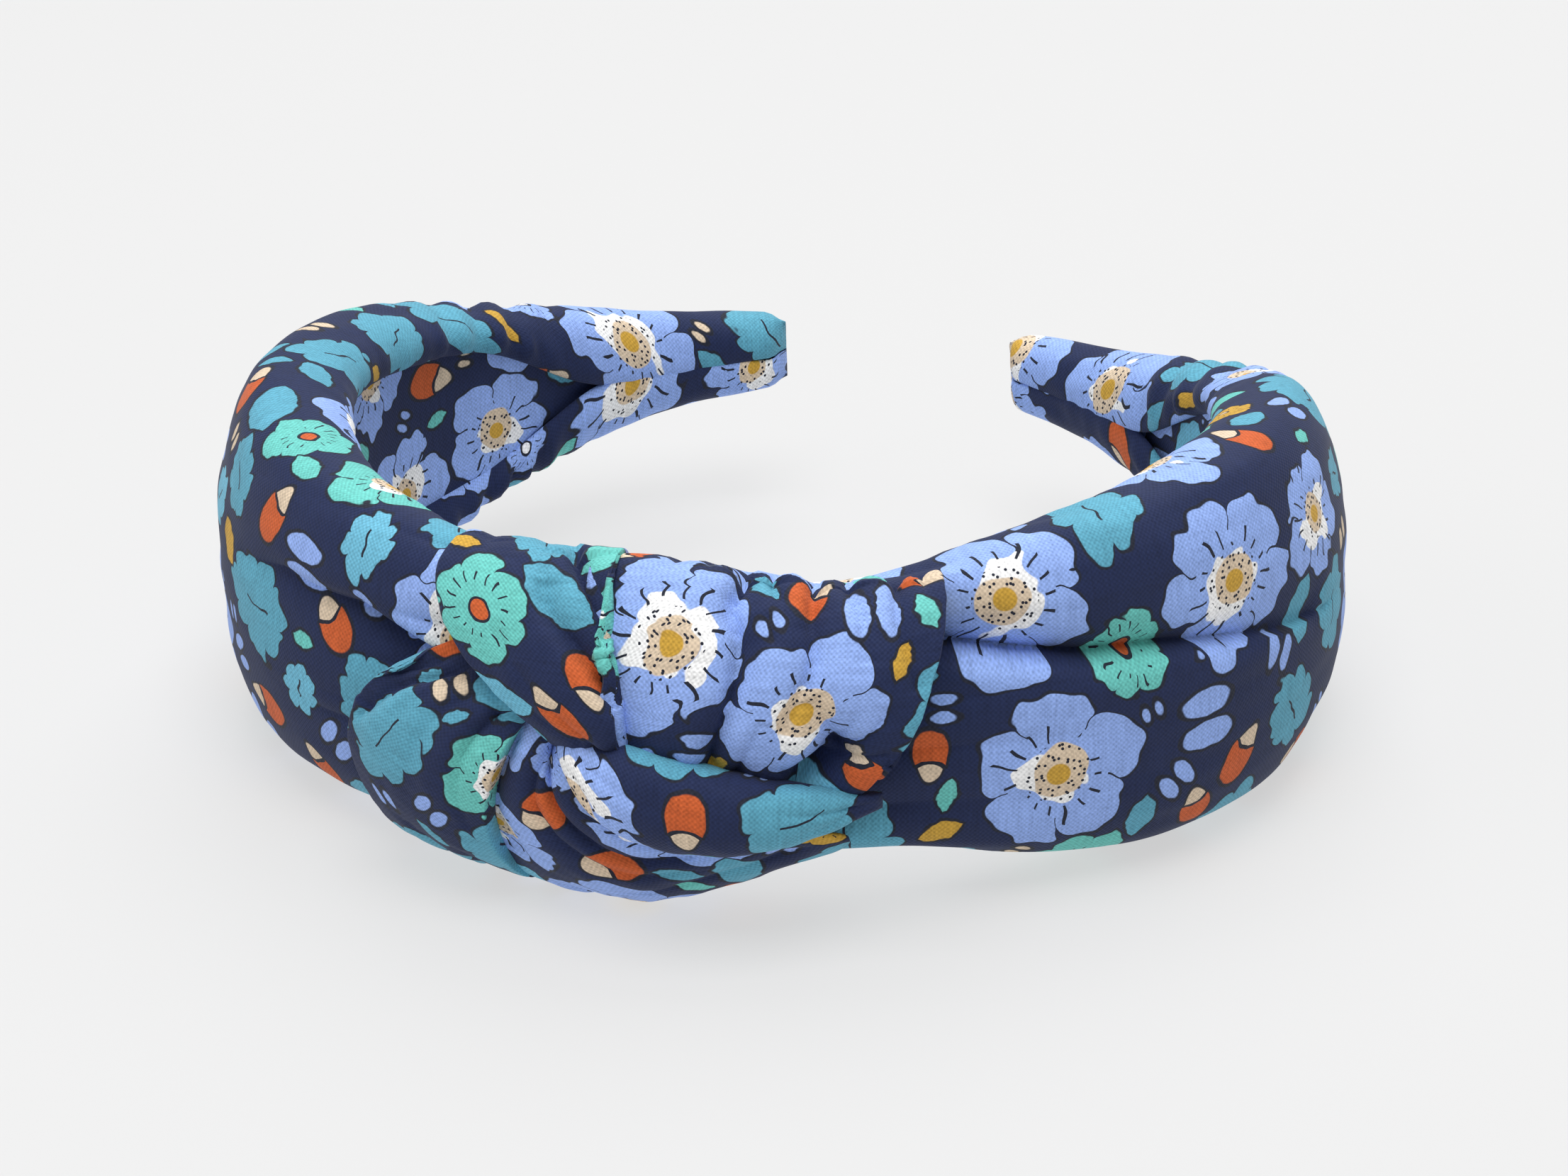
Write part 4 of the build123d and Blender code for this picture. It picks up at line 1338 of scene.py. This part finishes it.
class HEADBAND_OT_knot(bpy.types.Operator):
    """Folds the two strips of cloth into the knot at the crown"""

    bl_idname = "headband.knot"
    bl_label = "Knot"

    def execute(self, context):
        sizes = context.scene.headband_sizes
        band = Band(sizes)
        parts = {
            "collar": (COLLAR, 170, 84, "knot_loop", (0.038, 0.068)),
            "fan": (FAN, 150, 56, "knot_loop", (0.022, 0.072)),
            "underfold": (UNDERFOLD, 140, 70, "knot_loop", (0.03, 0.07)),
            "overlay": (OVERLAY, 140, 60, "knot_strand", (0.022, 0.065)),
            "roll": (ROLL, 80, 70, "knot_strand", (0.028, 0.042)),
        }
        for number, (name, (rows, along, across, node, flat_size)) in enumerate(parts.items()):
            p, flat = knot_grid(band, name, rows, along, across, 60 + number)
            piece = thicken(p, flat, sizes.cloth / MM, f"knot_{name}")
            finish_cloth(piece, context.scene.headband_colours, 71 + number)
            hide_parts(node)
            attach(piece, "crown")
        return {"FINISHED"}


class HEADBAND_OT_stage(bpy.types.Operator):
    """Sets up the floor, the soft lights and the camera"""

    bl_idname = "headband.stage"
    bl_label = "Floor, light and camera"

    def execute(self, context):
        stage = context.scene.headband_stage
        scene = context.scene
        mesh = bpy.data.meshes.new("floor")
        reach = 3.0  # metres to each side
        corners = [(-reach, -reach, 0), (reach, -reach, 0), (reach, reach, 0), (-reach, reach, 0)]
        mesh.from_pydata(corners, [], [(0, 1, 2, 3)])
        mesh.materials.append(floor_material(stage.floor_tone))
        linked("floor", mesh)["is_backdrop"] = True

        world = bpy.data.worlds.new("studio")
        world.use_nodes = True
        sky = world.node_tree.nodes["Background"].inputs
        sky["Color"].default_value = (1, 1, 1, 1)
        sky["Strength"].default_value = 0.38
        scene.world = world
        for name, place, size, power in (
            ("key", (0.10, -0.30, 1.2), 0.8, 11.0),
            ("fill", (-0.9, -0.6, 0.7), 0.9, 3.0),
            ("back", (0.0, 0.7, 1.1), 1.0, 10.0),
        ):
            lamp = bpy.data.lights.new(name, "AREA")
            lamp.size = size
            lamp.energy = power
            lit = linked(name, lamp)
            lit.location = place
            lit.rotation_euler = (Vector((0, 0, 0.02)) - Vector(place)).to_track_quat("-Z", "Y").to_euler()

        low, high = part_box("crown_hoop")
        target = Vector((0.0057, low[1] + 0.0401, high[2] - 0.0141))
        turn, height = stage.azimuth, stage.elevation
        level_share = math.cos(height)
        away = Vector((math.sin(turn) * level_share, -math.cos(turn) * level_share, math.sin(height)))
        level = away.cross(Vector((0, 0, 1))).normalized() * -1
        above = away.cross(level)
        c, s = math.cos(stage.roll), math.sin(stage.roll)
        right = c * level + s * above
        top = c * above - s * level
        lens = bpy.data.cameras.new("camera")
        lens.lens = stage.focal_length
        lens.sensor_width = 36.0
        camera = linked("camera", lens)
        place = target + away * stage.distance
        rows = [[right[i], top[i], away[i], place[i]] for i in range(3)]
        camera.matrix_world = Matrix([*rows, [0, 0, 0, 1]])
        bpy.context.scene.camera = camera
        scene.view_settings.view_transform = "Standard"
        return {"FINISHED"}


class HEADBAND_PT_panel(bpy.types.Panel):
    """Lists the steps that build the headband, with its sizes and colours"""

    bl_idname = "HEADBAND_PT_panel"
    bl_label = "Knotted headband"
    bl_space_type = "VIEW_3D"
    bl_region_type = "UI"
    bl_category = "Headband"

    def draw(self, context):
        for step in STEPS:
            self.layout.operator(step.bl_idname)
        scene = context.scene
        for group in (scene.headband_sizes, scene.headband_colours, scene.headband_stage):
            box = self.layout.box()
            for name in group.__annotations__:
                box.prop(group, name)


STEPS = (
    HEADBAND_OT_stage,
    HEADBAND_OT_hoop,
    HEADBAND_OT_wadding,
    HEADBAND_OT_lining,
    HEADBAND_OT_covers,
    HEADBAND_OT_knot,
)
CLASSES = (BandSizes, PrintColours, StageSettings, *STEPS, HEADBAND_PT_panel)


def register():
    for cls in CLASSES:
        bpy.utils.register_class(cls)
    bpy.types.Scene.headband_sizes = bpy.props.PointerProperty(type=BandSizes)
    bpy.types.Scene.headband_colours = bpy.props.PointerProperty(type=PrintColours)
    bpy.types.Scene.headband_stage = bpy.props.PointerProperty(type=StageSettings)


def unregister():
    for name in ("headband_sizes", "headband_colours", "headband_stage"):
        delattr(bpy.types.Scene, name)
    for cls in reversed(CLASSES):
        bpy.utils.unregister_class(cls)


def main():
    register()
    bpy.ops.headband.stage()
    bpy.ops.headband.hoop()
    bpy.ops.headband.wadding()
    bpy.ops.headband.lining()
    bpy.ops.headband.covers()
    bpy.ops.headband.knot()
    bpy.context.view_layer.update()
    boxes = {"cad": CAD_BOX, "visual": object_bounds()}
    {k: [list(c) for c in b] for k, b in boxes.items()}


if __name__ == "__main__":
    main()
